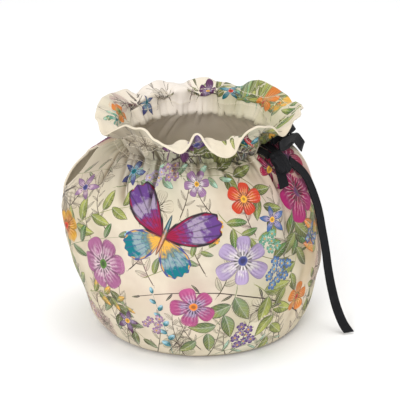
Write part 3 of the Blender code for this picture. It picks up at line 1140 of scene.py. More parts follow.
class Layer:
    """One layer of the print. Each face holds at most one of its motifs: the face's corners carry
    the place in the motif's own coordinates, and the face carries its shape and three colours."""

    def __init__(self, cloth):
        count = len(cloth["up"])
        self.cloth = cloth
        self.place = np.tile(np.array(NOWHERE), (count, 4, 1))
        self.shape = np.zeros((count, 3))
        self.tints = [np.tile(np.array(PALETTE["cream"]), (count, 1)) for _ in TINT_PARTS]
        self.nearest = np.full(count, FAR)

    def fill(self, chosen, place, shape, tints):
        self.place[chosen] = place
        self.shape[chosen] = shape
        for held, name in zip(self.tints, tints):
            held[chosen] = PALETTE[name]

    def add(self, side, centre, turn, size, outside, shape, tints, seed):
        """A motif of this size, turned by this angle: its x runs along it, from 0 to 1. Outside
        tells how far out of its outline a place is. The motif takes each face that it covers, and
        of the faces beside it those that no other motif is nearer to."""
        x, y = around(self.cloth, *centre)
        turn = np.radians(turn)
        along = (x * np.cos(turn) + y * np.sin(turn)) / size
        across = (y * np.cos(turn) - x * np.sin(turn)) / size
        near = (self.cloth["side"] == side) & (np.hypot(along, across).min(axis=1) < MOTIF_REACH)
        near = np.flatnonzero(near)
        along, across = along[near], across[near]
        out = outside(along, across, shape) * size
        middle = out.mean(axis=1)
        taken = (out.min(axis=1) < MOTIF_PAD) & ((middle < 0) | (middle < self.nearest[near]))
        near = near[taken]
        self.nearest[near] = middle[taken]
        place = beside(along, across, np.full(along.shape, seed))
        self.fill(near, place[taken], shape, tints)

    def add_stem(self, side, knots, half_width, tint):
        """A stem along a quadratic curve, given from its first knot in mm: each corner carries its
        signed distance across from the curve, its share along it, and the stem's half width."""
        line = stem_line(knots)
        places = beside(*around(self.cloth, *knots[0]))
        low, high = places.min(axis=1) - STEM_PAD, places.max(axis=1) + STEM_PAD
        near = (high > line.min(axis=0)).all(axis=1) & (low < line.max(axis=0)).all(axis=1)
        near = np.flatnonzero(near & (self.cloth["side"] == side))
        if not len(near):
            return
        step = np.diff(line, axis=0)
        offset = places[near][:, :, None] - line[:-1]
        share = ramp((offset * step).sum(axis=-1) / (step**2).sum(axis=1))
        gap = np.linalg.norm(offset - share[..., None] * step, axis=-1)
        best = gap.argmin(axis=-1)[..., None]
        left = np.sign(step[:, 0] * offset[..., 1] - step[:, 1] * offset[..., 0])
        across = np.take_along_axis(gap * left, best, axis=-1)[..., 0]
        along = (best[..., 0] + np.take_along_axis(share, best, axis=-1)[..., 0]) / STEM_STEPS
        distance = np.abs(across).mean(axis=1)
        closer = (distance < self.nearest[near]) & (np.abs(across).min(axis=1) < STEM_PAD)
        chosen = near[closer]
        self.nearest[chosen] = distance[closer]
        place = beside(across, along, np.full(across.shape, half_width))
        self.fill(chosen, place[closer], (0.0, 0.0, 0.0), [tint] * 3)

    def held(self):
        """What the layer holds: each attribute's ending, kind, domain and values."""
        yield "_place", "FLOAT_VECTOR", "CORNER", self.place
        yield "_shape", "FLOAT_VECTOR", "FACE", self.shape
        for part, tint in zip(TINT_PARTS, self.tints):
            yield part, "FLOAT_COLOR", "FACE", tint

    def store(self, mesh, name, border):
        """Writes the layer to the mesh, with nothing on the faces of its border."""
        blank = Layer({"up": range(border)})
        for (part, kind, domain, values), (*_, nothing) in zip(self.held(), blank.held()):
            set_attribute(mesh, name + part, kind, domain, np.concatenate([values, nothing]))


def blade_outside(along, across, shape):
    """How far out of a blade's outline a place is, as a share of the blade's length."""
    factor, base, point = shape
    share = ramp(along)
    half = factor * share**base * (1 - share) ** point
    return np.maximum(np.abs(across) - half - BEND_ROOM, np.abs(along - 0.5) - 0.5)


def round_outside(along, across, shape):
    """How far out of a circle a place is, as a share of its radius."""
    return np.hypot(along, across) - 1.0


def blade_shape(width, base, point):
    """A blade's numbers: its half width at share t along is k * t**base * (1 - t)**point, and k
    makes its widest place the width asked for."""
    widest = base / (base + point)
    return width / 2 / (widest**base * (1 - widest) ** point), base, point


def stem_line(knots):
    """Points along a quadratic curve through a start and an end and towards a middle knot, in mm
    from the start."""
    start = knots[0]
    flat = [np.array([turn_between(p[0], start[0]) * MM_PER_DEGREE, p[1] - start[1]]) for p in knots]
    t = np.linspace(0.0, 1.0, STEM_STEPS + 1)[:, None]
    return (1 - t) ** 2 * flat[0] + 2 * t * (1 - t) * flat[1] + t**2 * flat[2]


def add_sprig(layers, side, knots, thick, count, length, form, tint, tip, names):
    """A stem with leaves to each side in turn, which get shorter towards its tip, and one leaf at
    its end. Neighbouring leaves lie in different layers, so that they may overlap."""
    layers[names[0]].add_stem(side, knots, thick / 2, "bark" if thick > THICK_STEM else tint)
    azimuth, up = knots[0]
    line = stem_line(knots)
    shape = blade_shape(*LEAF_FORMS[form])
    for number in range(count):
        share = (number + 1.0) / count
        at = round(share * STEM_STEPS)
        way = np.degrees(np.arctan2(*(line[at] - line[max(at - 2, 0)])[::-1]))
        spread = 0.0 if number == count - 1 else LEAF_SPREAD * (-1) ** number
        centre = (azimuth + line[at][0] / MM_PER_DEGREE, up + line[at][1])
        size = length * (1 - LEAF_SHRINK * share)
        layer, seed = layers[names[1 + number % 2]], number + 0.37 * up
        layer.add(side, centre, way + spread, size, blade_outside, shape, (tint, tip, "ink"), seed)


def add_bloom(layer, side, centre, radius, turn, petals, form, tints):
    width, point = BLOOM_FORMS[form]
    shape = (petals, blade_shape(width, PETAL_BASE, point)[0], point)
    layer.add(side, centre, turn, radius, round_outside, shape, tints, centre[0] + centre[1])


def cluster(centre, spread, count):
    """Places on a spiral that turns by the golden angle, out from the centre of a cluster."""
    number = np.arange(count)
    radius = spread * np.sqrt((number + 0.5) / count)
    turn = np.radians(GOLDEN_TURN * number)
    return beside(centre[0] + radius * np.cos(turn) / MM_PER_DEGREE, centre[1] + radius * np.sin(turn))


def print_layers(cloth, shift):
    """Every motif of the print on one panel, turned round the pot by this shift."""
    layers = {name: Layer(cloth) for name in PRINT_LAYERS}

    def moved(place):
        return (place[0] + shift, place[1])

    coloured = (("stem", "leaf_deep", "leaf_low"), ("stem", "leaf_mid", "leaf_high"))
    pale = ("ghost_stem", "ghost_leaf_low", "ghost_leaf_high")
    for side, ghosts, ghost_blooms, sprigs, blooms in (
        (OUTSIDE, GHOST_SPRIGS, GHOST_BLOOMS, SPRIGS, BLOOMS),
        (INSIDE, INNER_GHOSTS, INNER_GHOST_BLOOMS, INNER_SPRIGS, INNER_BLOOMS),
    ):
        turned = moved if side == OUTSIDE else tuple
        for azimuth, up, height, lean, count, length, form, tint in ghosts:
            way = np.array([np.sin(np.radians(lean)) / MM_PER_DEGREE, np.cos(np.radians(lean))]) * height
            start = np.array(turned((azimuth, up)))
            bend = np.array([np.sign(lean) * height * GHOST_BEND / MM_PER_DEGREE, 0.0])
            knots = (start, start + way / 2 + bend, start + way)
            add_sprig(layers, side, knots, GHOST_STEM, count, length, form, tint, "sand", pale)
        for number, (*knots, thick, count, length, form, tint, tip) in enumerate(sprigs):
            knots = [turned(knot) for knot in zip(knots[::2], knots[1::2])]
            add_sprig(layers, side, knots, thick, count, length, form, tint, tip, coloured[number % 2])
        for layer, rows in (("ghost_bloom", ghost_blooms), ("bloom", blooms)):
            for azimuth, up, radius, turn, petals, form, *tints in rows:
                add_bloom(layers[layer], side, turned((azimuth, up)), radius, turn, petals, form, tints)
    for azimuth, up, spread, count, radius, petal, throat in FLORET_CLUSTERS:
        for number, centre in enumerate(cluster(moved((azimuth, up)), spread, count)):
            tints = (petal, throat, "sun")
            add_bloom(layers["floret"], OUTSIDE, centre, radius, 40.0 * number, 5, "full", tints)
    centre = moved((BUTTERFLY["azimuth"], BUTTERFLY["up"]))
    for number, (turn, length, width, *tints) in enumerate(BUTTERFLY["wings"]):
        layer = layers["wing_high" if number < 2 else "wing_low"]
        turn = turn + BUTTERFLY["turn"]
        shape = blade_shape(width, *WING_FORM)
        layer.add(OUTSIDE, centre, turn, length, blade_outside, shape, tints, number)
    length, width, tint, tip = BUTTERFLY["body"]
    turn = 90.0 + BUTTERFLY["turn"]
    back = length * BODY_BEHIND
    x = centre[0] - back * np.cos(np.radians(turn)) / MM_PER_DEGREE
    start = (x, centre[1] - back * np.sin(np.radians(turn)))
    shape = blade_shape(width, *BODY_FORM)
    layers["leaf_top"].add(OUTSIDE, start, turn, length, blade_outside, shape, (tint, tip, "ink"), 0.0)
    return layers


def wash_and_shade_of(cloth, shift):
    """A soft tint under the print, for each corner, as red, green, blue and strength: the petal's
    or the leaf's colour in a bell curve around each bloom and each sprig's middle outside, and
    then each tint of its own table, on its own side and with its own weight. The two heavy taupe
    ones on the front frill are painted shade."""
    halos = [(azimuth, up, radius * 1.5, petal) for azimuth, up, radius, *_, petal, _, _ in BLOOMS]
    halos += [(row[2], row[3], row[8] * 1.3, row[11]) for row in SPRIGS]
    halos += [(row[0], row[1] + row[2] / 2, row[2] * 0.55, "sand") for row in GHOST_SPRIGS]
    colour = np.zeros((*cloth["up"].shape, 3))
    total = np.full(cloth["up"].shape, LEAST_WASH)

    def spread(azimuth, up, radius):
        x, y = around(cloth, azimuth, up)
        return np.exp(-(x**2 + y**2) / radius**2)

    for azimuth, up, radius, name in halos:
        weight = spread(azimuth + shift, up, radius)
        colour += weight[..., None] * np.array(PALETTE[name])[:3]
        total += weight
    inner = cloth["side"] == INSIDE
    colour[inner], total[inner] = 0.0, LEAST_WASH
    strength = WASH_STRENGTH * (1 - np.exp(-total))
    for side, azimuth, up, radius, name, weight in WASHES_AND_SHADE:
        weight = weight * spread(azimuth, up, radius) * (cloth["side"] == side)[:, None]
        strength = 1 - (1 - strength) * np.exp(-weight)
        colour += weight[..., None] * np.array(PALETTE[name])[:3]
        total += weight
    return np.concatenate([colour / total[..., None], strength[..., None]], axis=-1)


def panel(name, node, seams, shift, material):
    """One panel of cloth: its outer face and its inner face, a cloth's thickness apart and more at
    its hems, closed round the border by a rounded edge, with its print on both."""
    cloth = panel_cloth(seams)
    rows, columns = cloth["up"].shape
    flat = cloth["points"] + cloth["normals"] * cloth["off"][..., None]
    normals = unit(np.cross(np.gradient(flat, axis=1), np.gradient(flat, axis=0)))
    outer = (flat + normals * cloth["thicker"][..., None] / 2).reshape(-1, 3)
    depth = CLOTH_THICKNESS + cloth["thicker"] / 2
    inner = (flat - normals * depth[..., None]).reshape(-1, 3)
    edge, inside = border_of(rows, columns)
    middle = (outer + inner) / 2
    away = unit(middle[edge] - middle[inside])
    rounded = middle[edge] + away * EDGE_ROUND * np.linalg.norm(outer - inner, axis=1)[edge][:, None]
    count = rows * columns
    face = face_corners(np.arange(count).reshape(rows, columns))
    ring = 2 * count + np.arange(len(edge))
    after, ring_after = np.roll(edge, -1), np.roll(ring, -1)
    upper = beside(after, edge, ring, ring_after)
    lower = beside(ring_after, ring, count + edge, count + after)
    faces = np.concatenate([face, count + face[:, TURNED], upper, lower])
    made = new_piece(name, np.concatenate([outer, inner, rounded]), faces.tolist(), material)
    mesh = made.data

    both = {}
    for key in ("azimuth", "up", "print_radius"):
        corners = face_corners(cloth[key])
        both[key] = np.concatenate([corners, corners[:, TURNED]])
    both["side"] = np.repeat([OUTSIDE, INSIDE], len(face))
    border = len(faces) - len(both["side"])
    for layer_name, layer in print_layers(both, shift).items():
        layer.store(mesh, layer_name, border)
    plain = np.tile(np.array([*PALETTE["cream"][:3], 0.0]), (border, 4, 1))
    set_attribute(mesh, "wash", "FLOAT_COLOR", "CORNER", np.concatenate([wash_and_shade_of(both, shift), plain]))
    edges = cloth["edges"].reshape(-1, 3)
    edges = np.concatenate([edges, edges, edges[edge]])
    set_attribute(mesh, "from_edges", "FLOAT_VECTOR", "POINT", edges)
    # Painted shade at each point: the inner face gets a share of the outer face's, turned round, and the rounded edge
    # gets none.
    sunk = cloth["sunk"].ravel()
    sunk = np.concatenate([sunk, INNER_SHADE_SHARE * -sunk, 0.0 * sunk[edge]])
    set_attribute(mesh, "sunk", "FLOAT", "POINT", sunk)
    x = np.radians(cloth["azimuth"]) * cloth["print_radius"]
    uv = beside(x, cloth["up"]).reshape(-1, 2) * MM
    set_uv(mesh, np.concatenate([uv, uv, uv[edge]])[faces.ravel()])
    return fitted(made, node, "cream_print_cotton")


# ---- Materials


def math_node(operation, turned_round=False):
    """A method that adds one Math node, with its own signal as the first value or as the last."""

    def method(self, *others):
        values = (self, *others)
        return self.graph.math(operation, *(values[::-1] if turned_round else values))

    return method


class Signal:
    """A number, place or colour that a material's nodes work out: a sum with it adds a node. It
    can also be scaled, which is one node for this times a number plus another."""

    def __init__(self, graph, socket):
        self.graph = graph
        self.socket = socket

    __add__ = math_node("ADD")
    __sub__ = math_node("SUBTRACT")
    __rsub__ = math_node("SUBTRACT", turned_round=True)
    __mul__ = math_node("MULTIPLY")
    __truediv__ = math_node("DIVIDE")
    __rtruediv__ = math_node("DIVIDE", turned_round=True)
    __mod__ = math_node("FLOORED_MODULO")
    __pow__ = math_node("POWER")
    __abs__ = math_node("ABSOLUTE")
    __round__ = math_node("ROUND")
    most = math_node("MAXIMUM")
    least = math_node("MINIMUM")
    root = math_node("SQRT")
    sine = math_node("SINE")
    cosine = math_node("COSINE")
    turn_to = math_node("ARCTAN2", turned_round=True)
    scaled = math_node("MULTIPLY_ADD")

    def zigzag(self):
        """0 at each whole number, and up to a half between."""
        return self.graph.math("PINGPONG", self, 0.5)

    def step(self, low, high):
        """0 below low, 1 above high and a smooth rise between, or a fall where high is the less."""
        rising = high > low
        reach = {"From Min": min(low, high), "From Max": max(low, high)}
        ends = {"To Min": 0.0 if rising else 1.0, "To Max": 1.0 if rising else 0.0}
        made = self.graph.node("ShaderNodeMapRange", interpolation_type="SMOOTHSTEP", clamp=False)
        return self.graph.fed(made, {"Value": self, **reach, **ends})[0]

    def lines(self, width):
        """1 on thin lines where the number passes each whole number, and 0 between."""
        return self.zigzag().step(width, 0.0)


class Graph:
    """Short calls that add linked nodes to one node tree."""

    def __init__(self, tree):
        self.tree = tree

    def node(self, kind, **settings):
        made = self.tree.nodes.new(kind)
        for name, setting in settings.items():
            setattr(made, name, setting)
        return made

    def feed(self, socket, value):
        if isinstance(value, Signal):
            self.tree.links.new(value.socket, socket)
        else:
            socket.default_value = value

    def outputs(self, made):
        """A node's outputs, by their place or by their name."""
        signals = {socket.name: Signal(self, socket) for socket in made.outputs}
        return {**signals, **{place: Signal(self, socket) for place, socket in enumerate(made.outputs)}}

    def fed(self, made, values):
        """The outputs of a node whose inputs, by place or by name, get these values."""
        for socket, value in values.items():
            self.feed(made.inputs[socket], value)
        return self.outputs(made)

    def math(self, operation, *values):
        made = self.node("ShaderNodeMath", operation=operation)
        return self.fed(made, dict(enumerate(values)))[0]

    def mix(self, share, first, second, blend="MIX"):
        made = self.node("ShaderNodeMix", data_type="RGBA", blend_type=blend)
        return self.fed(made, {0: share, 6: first, 7: second})[2]

    def split(self, vector):
        made = self.fed(self.node("ShaderNodeSeparateXYZ"), {0: vector})
        return made[0], made[1]

    def parts(self, colour):
        """The three numbers that a colour carries. A place or a shape comes as a colour, since a
        link that changes its kind makes the whole shader hold more at once."""
        made = self.fed(self.node("ShaderNodeSeparateColor"), {0: colour})
        return made[0], made[1], made[2]

    def noise(self, vector, scale, detail=2.0, roughness=0.5):
        values = {"Vector": vector, "Scale": scale, "Detail": detail, "Roughness": roughness}
        return self.fed(self.node("ShaderNodeTexNoise"), values)["Fac"]

    def random(self, value):
        made = self.node("ShaderNodeTexWhiteNoise", noise_dimensions="1D")
        return self.fed(made, {"W": value})["Value"]

    def attribute(self, name, output):
        return self.outputs(self.node("ShaderNodeAttribute", attribute_name=name))[output]

    def cloth_uv(self):
        return self.outputs(self.node("ShaderNodeUVMap", uv_map="cloth"))[0]

    def placed(self, group, **values):
        """A node group, with its inputs fed by name."""
        return self.fed(self.node("ShaderNodeGroup", node_tree=group), values)


def new_group(name, inputs, results):
    """A shader node group with these sockets, listed in words: its graph and its inputs, and the
    call that ends it by feeding its outputs."""
    tree = bpy.data.node_groups.new(name, "ShaderNodeTree")
    for way, sockets in (("INPUT", inputs), ("OUTPUT", results)):
        for socket in sockets.split():
            kind = "NodeSocketFloat" if socket in NUMBER_SOCKETS else "NodeSocketColor"
            kind = "NodeSocketVector" if socket == "Vector" else kind
            tree.interface.new_socket(socket, in_out=way, socket_type=kind)
    graph = Graph(tree)
    given = graph.outputs(graph.node("NodeGroupInput"))
    end = graph.node("NodeGroupOutput")

    def finish(**values):
        graph.fed(end, values)
        return tree

    return graph, given, finish


def blade_gap(along, across, factor, base, point):
    """How far inside a blade's outline a place is, as a share of its length, and how wide the
    blade is there."""
    share = along.most(0.0).least(1.0)
    half = share**base * (1.0 - share) ** point * factor
    return half - abs(across), half


def leaf_group():
    """A painted leaf: two halves of unlike depth, a midrib, slanting veins and a thin ink edge."""
    graph, given, finish = new_group("painted leaf", MOTIF_INPUTS, "Colour Mask Line")
    along, across, seed = graph.parts(given["Place"])
    factor, base, point = graph.parts(given["Shape"])
    bend = (graph.random(seed) - 0.5) * (along * (1.0 - along))
    across = bend.scaled(LEAF_BEND, across)
    gap, _ = blade_gap(along, across, factor, base, point)
    pigment = given["Pigment"] - 0.5
    colour = graph.mix(pigment.scaled(1.6, along).step(0.15, 0.85), given["First"], given["Second"])
    lit = graph.mix(across.step(-0.02, 0.02), LEAF_SHADE, PURE_WHITE)
    colour = graph.mix(pigment.step(*SHADE_REACH), colour, lit, "MULTIPLY")
    slant = abs(across).scaled(-1.3, along)
    veins = (slant * LEAF_VEINS).lines(0.12) * gap.step(0.0, 0.05)
    pale = graph.mix(0.45, colour, PALETTE["white"])
    colour = graph.mix(veins * 0.5, colour, pale)
    midrib = abs(across).step(0.022, 0.008)
    colour = graph.mix(midrib * 0.6, colour, pale)
    dark = graph.mix(0.75, colour, given["Ink"])
    colour = graph.mix(gap.step(0.08, 0.0) * 0.4, colour, dark)
    line = gap.step(0.038, 0.018) * 0.95
    return finish(
        Colour=graph.mix(line, colour, dark),
        Mask=gap.step(0.0, 0.012),
        Line=line.most((veins * 0.5).most(midrib)),
    )


def bloom_group():
    """A painted flower seen from the front: petals of unlike lengths round a heart, each paler at
    its throat, with fine lines that run out along it, and a ring of stamens."""
    graph, given, finish = new_group("painted flower", MOTIF_INPUTS, "Colour Mask Line")
    x, y, seed = graph.parts(given["Place"])
    petals, factor, point = graph.parts(given["Shape"])
    petals = petals.most(1.0)
    radius = (x * x + y * y).root()
    turn = x.turn_to(y)
    sector = 2 * np.pi / petals
    number = round(turn / sector)
    off = turn - number * sector
    number = number % petals
    length = graph.random(number.scaled(7.31, seed)).scaled(PETAL_UNEVEN, 1.0 - PETAL_UNEVEN)
    along = radius * off.cosine() / length
    across = radius * off.sine() / length
    gap, half = blade_gap(along, across, factor, PETAL_BASE, point)
    border = radius * (sector * 0.5 - abs(off)).sine()
    share = across / half.most(0.01)
    pigment = given["Pigment"] - 0.5
    reach = abs(share).scaled(0.18, pigment.scaled(1.4, along))
    colour = graph.mix(reach.step(0.18, 0.78), given["Second"], given["First"])
    shaded = graph.mix(0.62, colour, given["Ink"])
    strand = pigment.scaled(0.6, share)
    veins = (strand * PETAL_VEINS).lines(0.26) * (along.step(0.1, 0.25) * along.step(1.0, 0.55)) * 0.62
    colour = graph.mix(veins, colour, shaded)
    shine = strand.scaled(PETAL_VEINS, 0.5).lines(0.2) * along.step(0.9, 0.35)
    colour = graph.mix(shine * 0.45, colour, PALETTE["white"])
    shade = graph.mix(graph.random(seed + number), PETAL_SHADE, PURE_WHITE)
    colour = graph.mix(pigment.step(*SHADE_REACH), colour, shade, "MULTIPLY")
    colour = graph.mix(gap.step(0.1, 0.0) * 0.4, colour, shaded)
    line = gap.least(border).step(0.042, 0.018) * 0.95
    colour = graph.mix(line, colour, shaded)
    ragged = pigment.scaled(0.12, radius)
    beads = (turn * STAMENS).sine().step(0.0, 0.5)
    ring = ragged.step(0.36, 0.3) * ragged.step(0.16, 0.22) * beads
    colour = graph.mix(ring * 0.8, colour, given["Ink"])
    colour = graph.mix(ragged.step(0.2, 0.14), colour, given["Third"])
    return finish(
        Colour=graph.mix(ragged.step(0.11, 0.07) * 0.55, colour, given["Ink"]),
        Mask=gap.step(0.0, 0.02).most(radius.step(0.2, 0.16)),
        Line=line.most(veins).most(ring),
    )


def wing_group():
    """A painted wing: ribs that spread from its root, a scalloped dark rim, and pale drops in it.
    Its colours are its root's, its web's and its rim's."""
    graph, given, finish = new_group("painted wing", MOTIF_INPUTS, "Colour Mask")
    along, across, _ = graph.parts(given["Place"])
    factor, base, point = graph.parts(given["Shape"])
    ribs = along.most(0.001).turn_to(across) * WING_RIBS
    gap, _ = blade_gap(ribs.zigzag().scaled(0.1, along), across, factor, base, point)
    reach = (given["Pigment"] - 0.5).scaled(0.8, along)
    colour = graph.mix(reach.step(0.18, 0.5), given["First"], given["Second"])
    pale = graph.mix(0.55, given["Second"], PALETTE["white"])
    colour = graph.mix(reach.step(0.4, 0.55) * reach.step(0.8, 0.6) * 0.55, colour, pale)
    dark = graph.mix(0.8, colour, given["Third"])
    colour = graph.mix(ribs.lines(0.16) * 0.75, colour, dark)
    colour = graph.mix(gap.step(0.075, 0.035), colour, given["Third"])
    drops = gap.step(0.02, 0.035) * gap.step(0.07, 0.05) * ribs.zigzag().step(0.2, 0.34)
    return finish(Colour=graph.mix(drops * 0.8, colour, given["First"]), Mask=gap.step(0.0, 0.015))


def stem_group():
    """A painted stem, which thins towards its tip, darker along one side."""
    graph, given, finish = new_group("painted stem", MOTIF_INPUTS, "Colour Mask")
    across, along, half = graph.parts(given["Place"])
    half = half * along.scaled(-0.55, 1.0)
    side = across / half.most(0.05)
    dark = graph.mix(0.5, given["First"], given["Ink"])
    colour = graph.mix(side.step(-0.2, 0.9), given["First"], dark)
    return finish(Colour=colour, Mask=(half - abs(across)).step(-0.08, 0.12))


def weave_group():
    """A plain weave: threads over and under in turn, as a height, and a share that is lighter on their tops, for the
    painted shade between them.
    """
    graph, given, finish = new_group("plain weave", "Vector Threads", "Height Tone")
    x, y = graph.split(given["Vector"])
    wide = (x * (given["Threads"] * np.pi)).sine()
    high = (y * (given["Threads"] * np.pi)).sine()
    over = (wide * high).step(-0.25, 0.25)
    height = abs(wide) * over + abs(high) * (1.0 - over)
    slant = graph.fed(graph.node("ShaderNodeCombineXYZ"), {0: x * 6.0, 1: y})[0]
    height = graph.noise(slant, 260.0, 1.0).scaled(0.5, height)
    # The share of each place that is out of the painted shade between the threads: 1 on their tops.
    return finish(Height=height, Tone=height.step(0.2, 1.3))


def stitch_group():
    """A line of stitches at a distance from an edge: dashes along it, each rounded at its ends."""
    _, given, finish = new_group("stitches", "Distance Along Line", "Mask")
    line = abs(given["Distance"] - given["Line"]).step(STITCH_THREAD, STITCH_THREAD * 0.4)
    return finish(Mask=line * (given["Along"] / STITCH_LENGTH).zigzag().step(0.08, 0.16))


def new_material(name, roughness, sheen, specular):
    """A material with these numbers on its own shader, and the graph to feed the rest from."""
    made = bpy.data.materials.new(name)
    made.use_nodes = True
    shader = made.node_tree.nodes["Principled BSDF"]
    shader.inputs["Roughness"].default_value = roughness
    shader.inputs["Sheen Weight"].default_value = sheen
    shader.inputs["Specular IOR Level"].default_value = specular
    return made, Graph(made.node_tree), shader


def bumped(graph, shader, height, strength, distance):
    bump = graph.node("ShaderNodeBump")
    values = {"Strength": strength, "Distance": distance, "Height": height}
    graph.feed(shader.inputs["Normal"], graph.fed(bump, values)["Normal"])


def printed_cotton(weave):
    """Cream cotton in a fine plain weave, printed with flowers in watercolour and ink, with painted
    shade in its creases, pleats and gathers, under the frill, at the foot and between its threads,
    and sewn with thread along its hems and its drawstring channel."""
    made, graph, shader = new_material("printed_cotton", 0.82, 0.12, 0.22)
    uv = graph.cloth_uv()
    pigment = graph.noise(uv, 190.0, 3.0, 0.62)
    stain = graph.noise(uv, 26.0, 3.0, 0.55)
    colour = graph.mix(stain.step(0.38, 0.68), PALETTE["cream"], PALETTE["sand"])
    colour = graph.mix(0.45, colour, PALETTE["cream"])
    # The soft tint under the print, with painted shade from the heavy taupe washes on the front frill.
    strength = graph.attribute("wash", "Alpha") * stain.step(0.15, 0.6)
    colour = graph.mix(strength, colour, graph.attribute("wash", "Color"))
    groups = {"stem": stem_group(), "leaf": leaf_group(), "bloom": bloom_group(), "wing": wing_group()}
    for layer, kind in PRINT_LAYERS.items():
        ghost = layer.startswith("ghost")
        ink = PALETTE["bark" if ghost else "ink"]
        carried = {
            socket: graph.attribute(layer + part, "Color")
            for socket, part in zip(MOTIF_INPUTS.split(), ("_place", "_shape", *TINT_PARTS))
        }
        drawn = graph.placed(groups[kind], **carried, Ink=ink, Pigment=pigment)
        mask, drawn_colour = drawn["Mask"], drawn["Colour"]
        if ghost and kind == "stem":
            drawn_colour = graph.mix(0.8, drawn_colour, ink)
        elif ghost:
            mask = mask * drawn["Line"].scaled(GHOST_LINE - GHOST_FILL, GHOST_FILL)
            drawn_colour = graph.mix(drawn["Line"] * 0.8, drawn_colour, ink)
        colour = graph.mix(mask, colour, drawn_colour)
    # Painted shade in the creases, pleats and gathers, under the frill and at the foot.
    folded = graph.attribute("sunk", "Fac").step(0.0, PAINTED_SHADE_FULL) * FOLD_SHADE
    colour = graph.mix(folded, colour, PAINTED_SHADE_TONE, "MULTIPLY")
    threads = graph.placed(weave, Vector=uv, Threads=COTTON_THREADS)
    # Painted shade between the threads.
    thread_shade = graph.mix(threads["Tone"], SHADE_BETWEEN_THREADS, PURE_WHITE)
    colour = graph.mix(1.0, colour, thread_shade, "MULTIPLY")
    _, rim, neck = graph.parts(graph.attribute("from_edges", "Color"))
    x, y = graph.split(uv)
    stitches = stitch_group()
    lines = ((rim, HEM_WIDTH), (neck, CASING_HALF), (neck, -CASING_HALF), (y / MM, FOOT_STITCH_UP))
    masks = [graph.placed(stitches, Distance=far, Along=x, Line=line)["Mask"] for far, line in lines]
    sewn = masks[0].most(masks[1]).most(masks[2]).most(masks[3])
    colour = graph.mix(sewn * 0.6, colour, PALETTE["cream"])
    graph.feed(shader.inputs["Base Color"], colour)
    bumped(graph, shader, sewn.scaled(1.6, threads["Height"]), 0.35, 0.00012)
    return made


def ribbon_finish(weave):
    """Black grosgrain: ribs across the ribbon, with painted shade in the grooves between them, a closer edge, and a
    soft sheen.
    """
    made, graph, shader = new_material("black_grosgrain", 0.6, 0.0, 0.1)
    uv = graph.cloth_uv()
    _, y = graph.split(uv)
    ribs = abs((y * (np.pi * RIBS_PER_METRE)).sine())
    threads = graph.placed(weave, Vector=uv, Threads=RIBBON_THREADS)
    wear = graph.noise(uv, 120.0, 2.0)
    # Painted shade in the grooves between the ribs.
    colour = graph.mix(ribs.step(0.0, 0.8), BLACK_SHADED_BETWEEN_RIBS, BLACK)
    colour = graph.mix(wear.step(0.5, 0.75) * 0.4, colour, BLACK_WORN)
    graph.feed(shader.inputs["Base Color"], colour)
    graph.feed(shader.inputs["Roughness"], wear.scaled(0.2, 0.5))
    bumped(graph, shader, threads["Height"].scaled(0.2, ribs), 0.5, 0.00018)
    return made


# ---- The ribbon and its knot


def rings(rows, columns):
    """The points of a grid whose columns close round, as indices, and each one's neighbour."""
    index = np.arange(rows * columns).reshape(rows, columns)
    return index, np.roll(index, -1, axis=1)


def ribbon(name, material):
    """A ribbon: a flat section with a thicker woven edge to each side, carried along its route,
    its width turned as the route's table says, and closed at both ends."""
    table = np.array(RIBBON_ROUTES[name])
    turn, tilt = np.radians(table[:, 3:]).T
    wide = beside(np.cos(tilt) * np.cos(turn), np.cos(tilt) * np.sin(turn), np.sin(tilt))
    route = table[:, :3] * MM
    along = running(np.linalg.norm(np.diff(route, axis=0), axis=1))
    at = np.linspace(0.0, along[-1], 1 + round(along[-1] / RIBBON_STEP))
    middle = smooth_through(along, route, at)
    wide = smooth_through(along, wide, at)
    forward = unit(np.gradient(middle, at, axis=0))
    wide = unit(wide - forward * (wide * forward).sum(axis=1, keepdims=True))
    normal = np.cross(wide, forward)

    share = np.cos(np.linspace(np.pi, 0.0, RIBBON_SIDE_STEPS)) / 2
    half = RIBBON_THICKNESS / 2 * (1 + SELVEDGE * bell(np.abs(share) - SELVEDGE_AT, SELVEDGE_HALF))
    half *= np.clip((0.5 - np.abs(share)) / EDGE_FALL, 0.25, 1.0)
    section_wide = np.concatenate([share, share[::-1]]) * RIBBON_WIDTH
    section_thick = np.concatenate([-half, half[::-1]])
    slant = np.zeros(len(at))
    slant[-SLANT_ROWS:] = np.linspace(0.0, 1.0, SLANT_ROWS) ** 2
    slide = slant[:, None] * section_wide / RIBBON_WIDTH * SLANTED_ENDS.get(name, 0.0)
    points = middle[:, None] + wide[:, None] * section_wide[:, None]
    points = points + normal[:, None] * section_thick[:, None] + forward[:, None] * slide[..., None]
    rows, columns = points.shape[:2]
    index, after = rings(rows, columns)
    side = beside(index[:-1], index[1:], after[1:], after[:-1]).reshape(-1, 4)
    pair = np.arange(RIBBON_SIDE_STEPS - 1)
    facing = columns - 1 - pair
    cap = beside(pair, pair + 1, facing - 1, facing)
    faces = np.concatenate([side, cap, (rows - 1) * columns + cap[:, ::-1]])
    made = new_piece(name + "_ribbon", points.reshape(-1, 3), faces.tolist(), material)
    uv = beside(*np.broadcast_arrays(section_wide, at[:, None])).reshape(-1, 2)
    set_uv(made.data, uv[faces.ravel()])
    return fitted(made, name, "black_ribbon"), middle, along[-1]


def spun(x, y, degrees):
    """Two coordinates turned by this angle."""
    angle = np.radians(degrees)
    return x * np.cos(angle) - y * np.sin(angle), x * np.sin(angle) + y * np.cos(angle)


